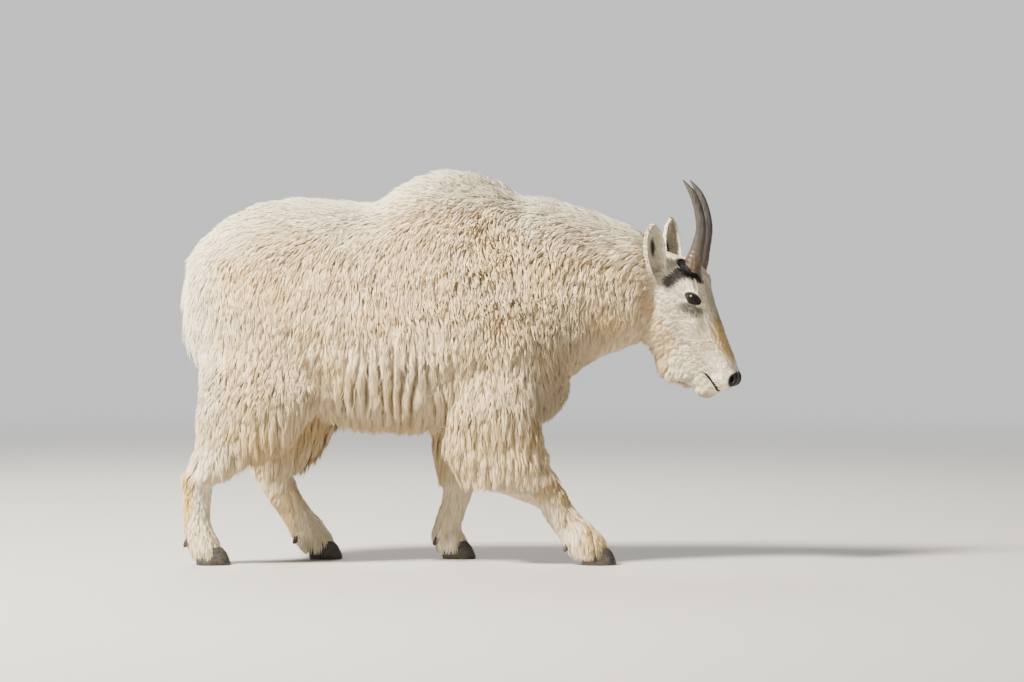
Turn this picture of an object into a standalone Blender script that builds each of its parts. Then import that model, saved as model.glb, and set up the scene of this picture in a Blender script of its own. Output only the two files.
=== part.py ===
"""A mountain goat in its short summer wool, walking, at life size.

Metres, +Z up. The goat faces +X with its left side towards +Y, and its hooves stand on z = 0.
The origin is on the floor under the middle of the animal's bounding box.
Each outline below is the tips of the coat. The solids' cores lie inside it by half of the coat's
depth, and the locks reach back out to it.
"""

import math
import random

import bmesh
import bpy
from mathutils import Matrix, Vector
from mathutils.bvhtree import BVHTree

# Driving sizes
GAP = 0.0003
CORE_SHARE = 0.5
MERGE = 0.000004
SHARP_DEG = 40.0

# Fusing: voxel size, rounds of smoothing and triangles of the head and of the core
HEAD_VOXEL = 0.0035
HEAD_SMOOTHING = 26
HEAD_TRIANGLES = 720
CORE_VOXEL = 0.012
CORE_SMOOTHING = 8
CORE_TRIANGLES = 12000

# Trunk from rump to breast: x, top, bottom, half width, height of the widest place, coat depth
TRUNK = (
    (-0.690, 0.740, 0.560, 0.060, 0.660, 0.030),
    (-0.672, 0.795, 0.500, 0.105, 0.660, 0.034),
    (-0.640, 0.838, 0.460, 0.138, 0.655, 0.036),
    (-0.585, 0.880, 0.430, 0.160, 0.650, 0.038),
    (-0.500, 0.917, 0.400, 0.174, 0.640, 0.040),
    (-0.400, 0.926, 0.372, 0.182, 0.620, 0.042),
    (-0.300, 0.918, 0.345, 0.188, 0.600, 0.044),
    (-0.225, 0.914, 0.332, 0.190, 0.585, 0.046),
    (-0.187, 0.932, 0.330, 0.190, 0.580, 0.047),
    (-0.150, 0.958, 0.328, 0.189, 0.575, 0.048),
    (-0.110, 0.983, 0.328, 0.187, 0.570, 0.052),
    (-0.050, 1.000, 0.328, 0.184, 0.570, 0.056),
    (0.000, 1.000, 0.330, 0.180, 0.570, 0.056),
    (0.055, 0.985, 0.336, 0.174, 0.570, 0.054),
    (0.110, 0.958, 0.345, 0.166, 0.570, 0.050),
    (0.160, 0.925, 0.347, 0.152, 0.565, 0.048),
    (0.205, 0.880, 0.350, 0.130, 0.560, 0.046),
    (0.235, 0.800, 0.376, 0.106, 0.560, 0.044),
    (0.254, 0.720, 0.420, 0.070, 0.560, 0.040),
)

# Neck from inside the shoulders to behind the ears, in the same columns
NECK = (
    (0.040, 0.930, 0.420, 0.150, 0.660, 0.050),
    (0.130, 0.932, 0.400, 0.148, 0.660, 0.050),
    (0.200, 0.930, 0.415, 0.142, 0.670, 0.050),
    (0.260, 0.914, 0.455, 0.132, 0.680, 0.048),
    (0.320, 0.895, 0.500, 0.118, 0.690, 0.044),
    (0.380, 0.873, 0.524, 0.105, 0.695, 0.038),
    (0.430, 0.853, 0.540, 0.096, 0.698, 0.030),
    (0.465, 0.826, 0.560, 0.082, 0.700, 0.022),
    (0.490, 0.780, 0.610, 0.056, 0.700, 0.016),
)

# Shanks from the end of the long wool to the coronet: x, y, z, half depth, half width
SHANKS = {
    "hind_right": (
        (-0.662, -0.103, 0.222, 0.040, 0.034),
        (-0.670, -0.101, 0.175, 0.037, 0.031),
        (-0.671, -0.100, 0.125, 0.034, 0.028),
        (-0.667, -0.100, 0.085, 0.037, 0.033),
        (-0.652, -0.100, 0.050, 0.038, 0.036),
        (-0.640, -0.100, 0.026, 0.036, 0.034),
    ),
    "hind_left": (
        (-0.484, 0.104, 0.212, 0.045, 0.035),
        (-0.462, 0.102, 0.165, 0.040, 0.032),
        (-0.432, 0.100, 0.118, 0.037, 0.029),
        (-0.403, 0.100, 0.078, 0.041, 0.034),
        (-0.382, 0.100, 0.050, 0.041, 0.037),
        (-0.370, 0.100, 0.026, 0.038, 0.035),
    ),
    "front_right": (
        (0.216, -0.102, 0.172, 0.040, 0.036),
        (0.236, -0.100, 0.138, 0.037, 0.031),
        (0.262, -0.100, 0.104, 0.037, 0.030),
        (0.286, -0.100, 0.074, 0.042, 0.035),
        (0.310, -0.100, 0.048, 0.043, 0.037),
        (0.326, -0.100, 0.026, 0.039, 0.035),
    ),
    "front_left": (
        (-0.018, 0.102, 0.172, 0.038, 0.035),
        (-0.028, 0.100, 0.138, 0.034, 0.030),
        (-0.039, 0.100, 0.104, 0.033, 0.029),
        (-0.046, 0.100, 0.074, 0.037, 0.034),
        (-0.036, 0.100, 0.048, 0.038, 0.036),
        (-0.026, 0.100, 0.026, 0.036, 0.034),
    ),
}

# Roots of the long wool round each leg, from inside the trunk down: x, y, z, half depth, half
# width, and how much higher the front of the ring is than its middle
LEG_WOOL = {
    "hind_right": (
        (-0.512, -0.092, 0.500, 0.112, 0.044, 0.00),
        (-0.514, -0.102, 0.418, 0.126, 0.055, 0.03),
        (-0.542, -0.104, 0.345, 0.106, 0.050, 0.03),
        (-0.630, -0.103, 0.262, 0.054, 0.038, 0.00),
    ),
    "hind_left": (
        (-0.430, 0.092, 0.500, 0.112, 0.044, 0.00),
        (-0.428, 0.102, 0.418, 0.126, 0.055, 0.02),
        (-0.438, 0.104, 0.345, 0.108, 0.050, 0.02),
        (-0.476, 0.104, 0.256, 0.058, 0.038, 0.00),
    ),
    "front_right": (
        (0.072, -0.092, 0.480, 0.100, 0.046, 0.00),
        (0.076, -0.102, 0.396, 0.110, 0.055, 0.00),
        (0.090, -0.104, 0.316, 0.108, 0.050, -0.01),
        (0.150, -0.104, 0.234, 0.076, 0.041, -0.02),
    ),
    "front_left": (
        (0.004, 0.092, 0.480, 0.092, 0.046, 0.00),
        (-0.006, 0.102, 0.396, 0.084, 0.054, 0.00),
        (-0.013, 0.104, 0.312, 0.060, 0.046, 0.00),
        (-0.015, 0.104, 0.222, 0.043, 0.037, 0.00),
    ),
}

# Fleece: its tiers lie at even shares of each section, from beside the spine to under the belly.
# The sections' middles are given as x and z, and their first and last ray as angles from upright
FLEECE_TIERS = 8
FLEECE_LOCKS = 34
FLEECE_MIDDLES = ((-0.70, 0.66), (-0.40, 0.63), (0.10, 0.63), (0.30, 0.70), (0.60, 0.71))
FLEECE_ENDS = (0.430, -0.560)
FLEECE_ANGLES = (4, 154)
FLEECE_GAP = 0.105
FLEECE_SLANT = 0.006
FLEECE_SIDE_STEPS = 60
FLEECE_RUMP_STEPS = 24
FLEECE_BREAST_STEPS = 12

# Where the wool changes: lift behind the ears, the neck's first x, the shoulder's first x and z,
# the back's lowest z and the belly fringe's highest z
SMOOTH_FROM = 0.455
SMOOTH_LIFT = 0.003
NECK_FROM = 0.20
SHOULDER_FROM = (-0.12, 0.52)
BACK_FROM = 0.80
FRINGE_TO = 0.50

# Locks: shares of the gap to the next tier at the fold, the widest place and the tip, shares of
# the lift at the ridge, the side corners, the tip and the fold, then how much each length, lift and
# side step varies
LOCK_SHARES = (0.50, 1.05, 1.50)
LOCK_RISES = (0.80, 0.50, 0.85, 0.35)
LOCK_VARIES = (0.12, 0.12, 0.10)
LOCK_SEED = 4
LEG_LOCKS = 8
LEG_LIFT = 0.017
LEG_GAP = 0.070
TAIL_LOCKS = 5
TAIL_LIFT = 0.008
TAIL_GAP = 0.060

# Beard below the jaw, in the columns of the legs' wool
BEARD = (
    (0.520, -0.013, 0.530, 0.046, 0.030, -0.020),
    (0.528, -0.015, 0.488, 0.046, 0.032, -0.014),
    (0.539, -0.018, 0.450, 0.034, 0.025, -0.006),
)
BEARD_LOCKS = 8
BEARD_LIFT = 0.006
BEARD_GAP = 0.030

# Single locks of the mane along the spine: x, then their length, width and droop
MANE = (0.340, 0.255, 0.170, 0.095, 0.030, -0.030, -0.090, -0.160, -0.250, -0.345, -0.440)
MANE_LOCK = (0.115, 0.060, 0.020)
LOCK_THICKNESS = 0.012

# Toes: where each foot's middle stands and the way that it points, in degrees from +X
FEET = {
    "hind_right": (-0.628, -0.100, 0.0),
    "hind_left": (-0.354, 0.100, 2.0),
    "front_right": (0.340, -0.100, -4.0),
    "front_left": (-0.014, 0.100, 3.0),
}
HOOF_LENGTH = 0.084
HOOF_WIDTH = 0.034
HOOF_HEIGHT = 0.046
TOE_SPREAD_DEG = 6.0
CLEFT = 0.004

# Tail from root to tip: x, z, half width, half thickness, coat depth
TAIL = (
    (-0.650, 0.760, 0.034, 0.028, 0.016),
    (-0.678, 0.690, 0.036, 0.024, 0.016),
    (-0.692, 0.625, 0.032, 0.018, 0.014),
    (-0.694, 0.565, 0.020, 0.013, 0.010),
)

# Head: its own axes run from poll to nose, out through the forehead, and to the animal's left
POLL = Vector((0.525, -0.012, 0.757))
FACE_PITCH = math.radians(65.5)
HEAD_TURN = math.radians(-17.0)
HEAD_TILT = math.radians(-1.0)

# Skull and upper muzzle: along, front, back, half width
SKULL = (
    (-0.030, -0.010, -0.115, 0.048),
    (0.000, 0.024, -0.144, 0.060),
    (0.020, 0.042, -0.148, 0.064),
    (0.045, 0.053, -0.148, 0.066),
    (0.080, 0.053, -0.144, 0.068),
    (0.111, 0.047, -0.136, 0.066),
    (0.150, 0.041, -0.118, 0.057),
    (0.205, 0.0400, -0.100, 0.048),
    (0.250, 0.0405, -0.074, 0.041),
    (0.286, 0.0415, -0.044, 0.0375),
    (0.312, 0.0405, -0.025, 0.0350),
    (0.335, 0.0400, -0.018, 0.0325),
    (0.350, 0.0360, -0.012, 0.0285),
    (0.360, 0.0240, -0.004, 0.0190),
)

# Lower jaw: along, upper side, lower side, half width
JAW = (
    (0.080, -0.036, -0.146, 0.052),
    (0.130, -0.030, -0.142, 0.052),
    (0.180, -0.018, -0.132, 0.049),
    (0.230, -0.008, -0.114, 0.044),
    (0.280, -0.004, -0.092, 0.037),
    (0.315, -0.006, -0.076, 0.0320),
    (0.340, -0.008, -0.067, 0.0285),
    (0.357, -0.014, -0.056, 0.0190),
)

# Swellings of the face: along, out, side, and their half sizes the same way
BULGES = {
    "brow": ((0.098, 0.026, 0.044), (0.044, 0.022, 0.020)),
    "cheekbone": ((0.145, 0.000, 0.042), (0.060, 0.026, 0.0170)),
    "cheek": ((0.115, -0.070, 0.030), (0.085, 0.070, 0.034)),
    "cheek_pad": ((0.225, -0.048, 0.018), (0.090, 0.048, 0.0255)),
    "horn_pedicle": ((0.046, 0.030, 0.028), (0.042, 0.030, 0.031)),
    "upper_lip": ((0.330, -0.002, 0.016), (0.033, 0.025, 0.0215)),
    "nostril_wing": ((0.334, 0.022, 0.0170), (0.029, 0.023, 0.0175)),
    "chin": ((0.332, -0.048, 0.006), (0.030, 0.028, 0.024)),
}

EYE_PLACE = (0.110, 0.0245)
EYE_RADIUS = 0.0165
EYE_DEPTH = 0.0085
EYE_OPENING = (0.0165, 0.0112)
EYE_SLANT = math.radians(31.0)
LID_RADIUS = 0.0030
LID_SIDES = 5

# Mouth line from its corner to the front of the lips: along, out
MOUTH_LINE = ((0.288, -0.036), (0.304, -0.028), (0.322, -0.0225), (0.340, -0.0195), (0.366, -0.0175))
MOUTH_DEPTH = 0.0036
MOUTH_WIDTH = 0.0026
NOSTRIL = ((0.343, 0.029, 0.0205), (0.0125, 0.0062, 0.0085))

# Horn: along, out, side, radius, from inside its base to its tip
HORN = (
    (0.042, 0.041, 0.0285, 0.0225),
    (0.020, 0.062, 0.0290, 0.0205),
    (0.000, 0.079, 0.0295, 0.0165),
    (-0.033, 0.104, 0.0305, 0.0132),
    (-0.058, 0.1155, 0.0315, 0.0120),
    (-0.095, 0.124, 0.0330, 0.0106),
    (-0.127, 0.1265, 0.0345, 0.0086),
    (-0.150, 0.1235, 0.0355, 0.0060),
    (-0.174, 0.118, 0.0365, 0.0016),
)

# Ear: along, out, side, half width, from inside its root to its tip
EAR = (
    (0.036, -0.036, 0.054, 0.015),
    (0.004, -0.024, 0.072, 0.024),
    (-0.030, -0.010, 0.086, 0.0265),
    (-0.062, 0.003, 0.095, 0.0215),
    (-0.086, 0.013, 0.100, 0.0130),
    (-0.104, 0.021, 0.103, 0.0030),
)
EAR_THICKNESS = 0.0036

# Cuts between the nodes, as lines in the XZ plane from top to bottom
HEAD_CUT = ((0.462, 0.90), (0.478, 0.40))
NECK_CUT = ((0.120, 1.10), (0.245, 0.30))

# Blocks that part the legs off: x at the back and front, side, height of the roof's outer and inner edge
LEG_BLOCKS = {
    "hind_right": (-0.90, -0.345, -1, 0.700, 0.330),
    "hind_left": (-0.90, -0.235, 1, 0.700, 0.330),
    "front_right": (-0.075, 0.60, -1, 0.560, 0.320),
    "front_left": (-0.130, 0.60, 1, 0.560, 0.320),
}

# Blocks of the lower legs: top, then x at the back and at the front there and on the floor
LOWER_LEG_BLOCKS = {
    "hind_right": (0.262, -0.760, -0.760, -0.585, -0.555),
    "hind_left": (0.236, -0.560, -0.480, -0.420, -0.290),
    "front_right": (0.190, 0.160, 0.215, 0.300, 0.420),
    "front_left": (0.186, -0.085, -0.110, 0.060, 0.060),
}
LOWER_LEG_HALF_WIDTH = 0.047

COAT_COLOUR = (0.80, 0.72, 0.59)
HORN_COLOUR = (0.075, 0.062, 0.052)
HOOF_COLOUR = (0.085, 0.078, 0.072)
EYE_COLOUR = (0.035, 0.020, 0.010)


def clear_scene():
    for obj in list(bpy.data.objects):
        bpy.data.objects.remove(obj)


def material(name, colour, roughness):
    made = bpy.data.materials.new(name)
    made.use_nodes = True
    shader = made.node_tree.nodes["Principled BSDF"]
    shader.inputs["Base Color"].default_value = (*colour, 1.0)
    shader.inputs["Roughness"].default_value = roughness
    shader.inputs["Metallic"].default_value = 0.0
    return made


def new_object(name, mesh, collection=None):
    obj = bpy.data.objects.new(name, mesh)
    (collection or bpy.context.scene.collection).objects.link(obj)
    return obj


def mesh_from(name, build):
    """A mesh that build(bm) fills, closed, facing out."""
    bm = bmesh.new()
    build(bm)
    bmesh.ops.recalc_face_normals(bm, faces=bm.faces)
    bmesh.ops.triangulate(bm, faces=bm.faces)
    mesh = bpy.data.meshes.new(name)
    bm.to_mesh(mesh)
    bm.free()
    return mesh


def add_loft(bm, rings, tip=None):
    """Closed tube through rings of equal count. A tip closes the far end in a point."""
    loops = [[bm.verts.new(p) for p in ring] for ring in rings]
    count = len(rings[0])
    for here, there in zip(loops, loops[1:]):
        for k in range(count):
            j = (k + 1) % count
            bm.faces.new((here[k], here[j], there[j], there[k]))
    bm.faces.new(loops[0])
    if tip is None:
        bm.faces.new(loops[-1])
        return
    apex = bm.verts.new(tip)
    for k in range(count):
        bm.faces.new((loops[-1][k], loops[-1][(k + 1) % count], apex))


def power(value, exponent):
    return math.copysign(abs(value) ** exponent, value)


def trunk_rings(stations, share, sides, crest):
    """Upright rings across X, inset from the outline by share of the coat. Crest narrows the top."""
    rings = []
    for x, top, bottom, half, widest, coat in stations:
        inset = share * coat
        up = top - inset - widest
        down = widest - bottom - inset
        ring = []
        for k in range(sides):
            turn = math.tau * k / sides
            c = math.cos(turn)
            s = math.sin(turn)
            y = (half - inset) * power(c, crest if s > 0 else 0.82)
            z = widest + (up if s > 0 else down) * s
            ring.append((x, y, z))
        rings.append(ring)
    return rings


def path_rings(points, sizes, sides, turned=0.0):
    """Rings square to a path. Sizes are half depth in the XZ plane and half width across it."""
    rings = []
    for i, point in enumerate(points):
        before = points[max(i - 1, 0)]
        after = points[min(i + 1, len(points) - 1)]
        along = (after - before).normalized()
        side = Vector((0.0, 1.0, 0.0))
        depth = along.cross(side).normalized()
        side = depth.cross(along)
        half_depth, half_width = sizes[i]
        ring = []
        for k in range(sides):
            turn = math.tau * (k + turned) / sides
            ring.append(
                point
                + depth * (half_depth * math.cos(turn))
                + side * (half_width * math.sin(turn))
            )
        rings.append(ring)
    return rings


def interpolated(table, x):
    """Second column of a table at x in its first column, on straight runs."""
    for (x0, z0, *_), (x1, z1, *_) in zip(table, table[1:]):
        if x0 <= x <= x1:
            return z0 + (z1 - z0) * (x - x0) / (x1 - x0)
    return table[0][1] if x < table[0][0] else table[-1][1]


def head_matrix():
    """Turns the head's own axes (along, out, side) to the world."""
    axes = Matrix(
        (
            (math.cos(FACE_PITCH), math.sin(FACE_PITCH), 0.0),
            (0.0, 0.0, 1.0),
            (-math.sin(FACE_PITCH), math.cos(FACE_PITCH), 0.0),
        )
    )
    tilt = Matrix.Rotation(HEAD_TILT, 3, "X")
    turn = Matrix.Rotation(HEAD_TURN, 3, "Z")
    return Matrix.Translation(POLL) @ (turn @ tilt @ axes).to_4x4()


def head_ring(along, front, back, half, sides, square=0.85):
    middle = back + (front - back) * 0.56
    ring = []
    for k in range(sides):
        turn = math.tau * k / sides
        c = math.cos(turn)
        s = math.sin(turn)
        out = middle + (front - middle if s > 0 else middle - back) * power(s, square)
        ring.append((along, out, half * power(c, square)))
    return ring


def add_bulge(bm, place, size, frame, detail=3):
    """An ellipsoid swelling in the head's own axes."""
    shape = Matrix.Translation(place) @ Matrix.Diagonal((*size, 1.0))
    bmesh.ops.create_icosphere(bm, subdivisions=detail, radius=1.0, matrix=frame @ shape)


def baked(obj, name):
    """A new mesh of obj with its modifiers applied. Obj is removed."""
    graph = bpy.context.evaluated_depsgraph_get()
    mesh = bpy.data.meshes.new_from_object(obj.evaluated_get(graph))
    mesh.name = name
    bpy.data.objects.remove(obj)
    return mesh


def fused(name, build, voxel, rounds, triangles):
    """Overlapping closed forms made one smooth closed surface of about that many triangles."""
    obj = new_object(name + "_raw", mesh_from(name, build))
    remesh = obj.modifiers.new("one_surface", "REMESH")
    remesh.mode = "VOXEL"
    remesh.voxel_size = voxel
    smooth = obj.modifiers.new("blend", "SMOOTH")
    smooth.factor = 0.5
    smooth.iterations = rounds
    mesh = baked(obj, name)
    obj = new_object(name + "_fine", mesh)
    mesh.calc_loop_triangles()
    fewer = obj.modifiers.new("fewer", "DECIMATE")
    fewer.ratio = min(1.0, triangles / len(mesh.loop_triangles))
    fewer.use_collapse_triangulate = True
    return new_object(name, baked(obj, name))


def boolean(obj, other, operation):
    """Applies one Boolean to obj. Other is an object or a collection, and is kept."""
    cut = obj.modifiers.new("cut", "BOOLEAN")
    cut.operation = operation
    cut.solver = "MANIFOLD"
    if isinstance(other, bpy.types.Collection):
        cut.operand_type = "COLLECTION"
        cut.collection = other
    else:
        cut.object = other
    graph = bpy.context.evaluated_depsgraph_get()
    mesh = bpy.data.meshes.new_from_object(obj.evaluated_get(graph))
    obj.modifiers.clear()
    obj.data = mesh


def copy_of(obj, name, grow=0.0):
    """A copy whose surface stands out by grow."""
    mesh = obj.data.copy()
    if grow:
        normals = [v.normal.copy() for v in mesh.vertices]
        for vertex, normal in zip(mesh.vertices, normals):
            vertex.co += normal * grow
    return new_object(name, mesh)


def keep_largest(obj):
    """Drops every loose scrap, so that the node is one closed body."""
    bm = bmesh.new()
    bm.from_mesh(obj.data)
    bmesh.ops.dissolve_degenerate(bm, edges=bm.edges, dist=MERGE)
    bmesh.ops.remove_doubles(bm, verts=bm.verts, dist=MERGE)
    bmesh.ops.triangulate(bm, faces=bm.faces)
    left = set(bm.faces)
    groups = []
    while left:
        group = {left.pop()}
        edge_of_group = list(group)
        while edge_of_group:
            face = edge_of_group.pop()
            for edge in face.edges:
                if len(edge.link_faces) != 2:
                    continue
                for other in edge.link_faces:
                    if other in left:
                        left.remove(other)
                        group.add(other)
                        edge_of_group.append(other)
        groups.append(group)
    groups.sort(key=lambda group: -sum(face.calc_area() for face in group))
    scraps = [face for group in groups[1:] for face in group]
    bmesh.ops.delete(bm, geom=scraps, context="FACES")
    bm.to_mesh(obj.data)
    bm.free()


# Head with its lids, lips and nostrils


def head_forms(bm):
    frame = head_matrix()
    parts = (
        [head_ring(*row, sides=20) for row in SKULL],
        [head_ring(*row, sides=18) for row in JAW],
    )
    for rings in parts:
        add_loft(bm, [[frame @ Vector(p) for p in ring] for ring in rings])
    for place, size in BULGES.values():
        for side in (1, -1):
            add_bulge(bm, (place[0], place[1], place[2] * side), size, frame)


def surface_side(head, along, out, side):
    """Where the head's surface lies on that side, in its own axes."""
    frame = head_matrix()
    inverse = frame.inverted()
    tree = BVHTree.FromObject(head, bpy.context.evaluated_depsgraph_get())
    start = frame @ Vector((along, out, side * 0.2))
    towards = (frame.to_3x3() @ Vector((0.0, 0.0, -side))).normalized()
    hit = tree.ray_cast(start, towards)[0]
    return (inverse @ hit).z


def eye_centre(head, side):
    outside = surface_side(head, *EYE_PLACE, side)
    return Vector((*EYE_PLACE, outside - side * EYE_DEPTH))


def add_lid(bm, centre, side):
    """A ring of skin that follows the eyeball round an almond opening."""
    frame = head_matrix()
    long_axis = Vector((math.cos(EYE_SLANT), math.sin(EYE_SLANT), 0.0))
    short_axis = Vector((-math.sin(EYE_SLANT), math.cos(EYE_SLANT), 0.0))
    out = Vector((0.0, 0.0, side))
    points = []
    steps = 14
    for k in range(steps):
        turn = math.tau * k / steps
        a = EYE_OPENING[0] * 1.12 * math.cos(turn)
        b = EYE_OPENING[1] * 1.18 * power(math.sin(turn), 1.15)
        reach = EYE_RADIUS + 0.0006
        height = math.sqrt(max(reach**2 - a**2 - b**2, 1e-6))
        points.append(centre + long_axis * a + short_axis * b + out * height)
    rings = []
    for k, point in enumerate(points):
        along = (points[(k + 1) % steps] - points[k - 1]).normalized()
        outward = (point - centre).normalized()
        across = along.cross(outward).normalized()
        upper = 1.25 if math.sin(math.tau * k / steps) > 0 else 0.95
        radius = LID_RADIUS * upper
        rings.append(
            [
                frame
                @ (
                    point
                    + outward * radius * math.cos(math.tau * j / LID_SIDES)
                    + across * radius * math.sin(math.tau * j / LID_SIDES)
                )
                for j in range(LID_SIDES)
            ]
        )
    loops = [[bm.verts.new(p) for p in ring] for ring in rings]
    for k in range(steps):
        here = loops[k]
        there = loops[(k + 1) % steps]
        for j in range(LID_SIDES):
            i = (j + 1) % LID_SIDES
            bm.faces.new((here[j], here[i], there[i], there[j]))


def add_mouth_blade(bm):
    """A thin curved blade along the mouth line, right through the muzzle."""
    frame = head_matrix()
    rings = []
    for i, (along, out) in enumerate(MOUTH_LINE):
        half = MOUTH_WIDTH / 2 * (0.35 if i == 0 else 1.0)
        ring = ((out - half, -0.08), (out + half, -0.08), (out + half, 0.08), (out - half, 0.08))
        rings.append([frame @ Vector((along, o, s)) for o, s in ring])
    add_loft(bm, rings)


def make_head():
    head = fused("head", head_forms, HEAD_VOXEL, HEAD_SMOOTHING, HEAD_TRIANGLES)
    inner = copy_of(head, "inner", -MOUTH_DEPTH)
    centres = {side: eye_centre(head, side) for side in (1, -1)}
    for side, centre in centres.items():
        lid = new_object("lid", mesh_from("lid", lambda bm: add_lid(bm, centre, side)))
        boolean(head, lid, "UNION")
        bpy.data.objects.remove(lid)
    blade = new_object("blade", mesh_from("blade", add_mouth_blade))
    boolean(blade, inner, "DIFFERENCE")
    boolean(head, blade, "DIFFERENCE")
    bpy.data.objects.remove(blade)
    bpy.data.objects.remove(inner)
    place, size = NOSTRIL
    for side in (1, -1):
        mesh = mesh_from(
            "hole",
            lambda bm: add_bulge(bm, (place[0], place[1], place[2] * side), size, head_matrix(), 1),
        )
        hole = new_object("hole", mesh)
        boolean(head, hole, "DIFFERENCE")
        bpy.data.objects.remove(hole)
    return head, centres


def make_eye(name, centre):
    frame = head_matrix()
    mesh = mesh_from(
        name,
        lambda bm: bmesh.ops.create_uvsphere(
            bm, u_segments=10, v_segments=7, radius=EYE_RADIUS, matrix=frame @ Matrix.Translation(centre)
        ),
    )
    return new_object(name, mesh)


def make_horn(name, side):
    frame = head_matrix()
    points = [Vector((row[0], row[1], row[2] * side)) for row in HORN]
    sides = 8
    rings = []
    for i, point in enumerate(points[:-1]):
        along = (points[i + 1] - points[max(i - 1, 0)]).normalized()
        across = along.cross(Vector((0.0, 0.0, 1.0))).normalized()
        third = across.cross(along)
        radius = HORN[i][3]
        rings.append(
            [
                frame
                @ (
                    point
                    + across * radius * 1.08 * math.cos(math.tau * k / sides)
                    + third * radius * 0.92 * math.sin(math.tau * k / sides)
                )
                for k in range(sides)
            ]
        )
    return new_object(name, mesh_from(name, lambda bm: add_loft(bm, rings, frame @ points[-1])))


def make_ear(name, side):
    """A leaf-shaped cup, open to the front and outwards."""
    frame = head_matrix()
    rings = []
    steps = 6
    facing = Vector((0.0, 0.62, 0.78 * side)).normalized()
    for i, (along, out, across, half) in enumerate(EAR):
        point = Vector((along, out, across * side))
        before = EAR[max(i - 1, 0)]
        after = EAR[min(i + 1, len(EAR) - 1)]
        lie = Vector((after[0] - before[0], after[1] - before[1], (after[2] - before[2]) * side))
        lie.normalize()
        face = (facing - lie * facing.dot(lie)).normalized()
        wide = lie.cross(face)
        curl = math.radians(118 - 40 * i / (len(EAR) - 1))
        wall = min(EAR_THICKNESS, half * 0.8)
        outer = []
        inner = []
        for k in range(steps + 1):
            turn = -curl + 2 * curl * k / steps
            way = wide * math.sin(turn) - face * math.cos(turn)
            outer.append(frame @ (point + way * half))
            inner.append(frame @ (point + way * (half - wall) + face * wall * 0.15))
        rings.append(outer + inner[::-1])
    return new_object(name, mesh_from(name, lambda bm: add_loft(bm, rings)))


# Feet


def toe_outline(scale, back):
    """Half of a cloven foot seen from above: round heel, straight inner side, pointed toe."""
    half = HOOF_WIDTH / 2
    length = HOOF_LENGTH
    points = (
        (-0.50, -0.30),
        (-0.46, 0.55),
        (-0.30, 0.92),
        (0.00, 1.00),
        (0.26, 0.80),
        (0.43, 0.30),
        (0.50, -0.35),
        (0.44, -0.85),
        (0.00, -0.95),
        (-0.36, -0.92),
    )
    return [(x * length * scale + back, y * half * scale) for x, y in points]


def make_toe(name, foot, side):
    x, y, heading = FEET[foot]
    turn = math.radians(heading + side * TOE_SPREAD_DEG / 2)
    shift = side * (HOOF_WIDTH + CLEFT) / 2
    levels = ((0.0, 0.94, 0.0), (0.004, 1.0, 0.0), (0.030, 0.90, -0.006), (HOOF_HEIGHT, 0.70, -0.012))
    rings = []
    for z, scale, back in levels:
        ring = []
        for px, py in toe_outline(scale, back):
            py = py * side + shift
            ring.append(
                (
                    x + px * math.cos(turn) - py * math.sin(turn),
                    y + px * math.sin(turn) + py * math.cos(turn),
                    z,
                )
            )
        rings.append(ring)
    return new_object(name, mesh_from(name, lambda bm: add_loft(bm, rings)))


def make_dewclaw(name, foot, side):
    """A small blunt claw behind the fetlock."""
    fetlock = Vector(SHANKS[foot][3][:3])
    heading = math.radians(FEET[foot][2])
    forward = Vector((math.cos(heading), math.sin(heading), 0.0))
    left = Vector((-math.sin(heading), math.cos(heading), 0.0))
    root = fetlock - forward * 0.026 + left * side * 0.017 + Vector((0.0, 0.0, -0.010))
    tip = root - forward * 0.022 + left * side * 0.004 + Vector((0.0, 0.0, -0.026))
    rings = path_rings([root, root.lerp(tip, 0.55)], [(0.0105, 0.0105), (0.009, 0.009)], 8)
    return new_object(name, mesh_from(name, lambda bm: add_loft(bm, rings, tip)))


# Body


def core_forms(bm):
    add_loft(bm, trunk_rings(TRUNK, CORE_SHARE, 32, 1.10))
    add_loft(bm, trunk_rings(NECK, CORE_SHARE, 32, 1.05))


# Wool


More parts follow.
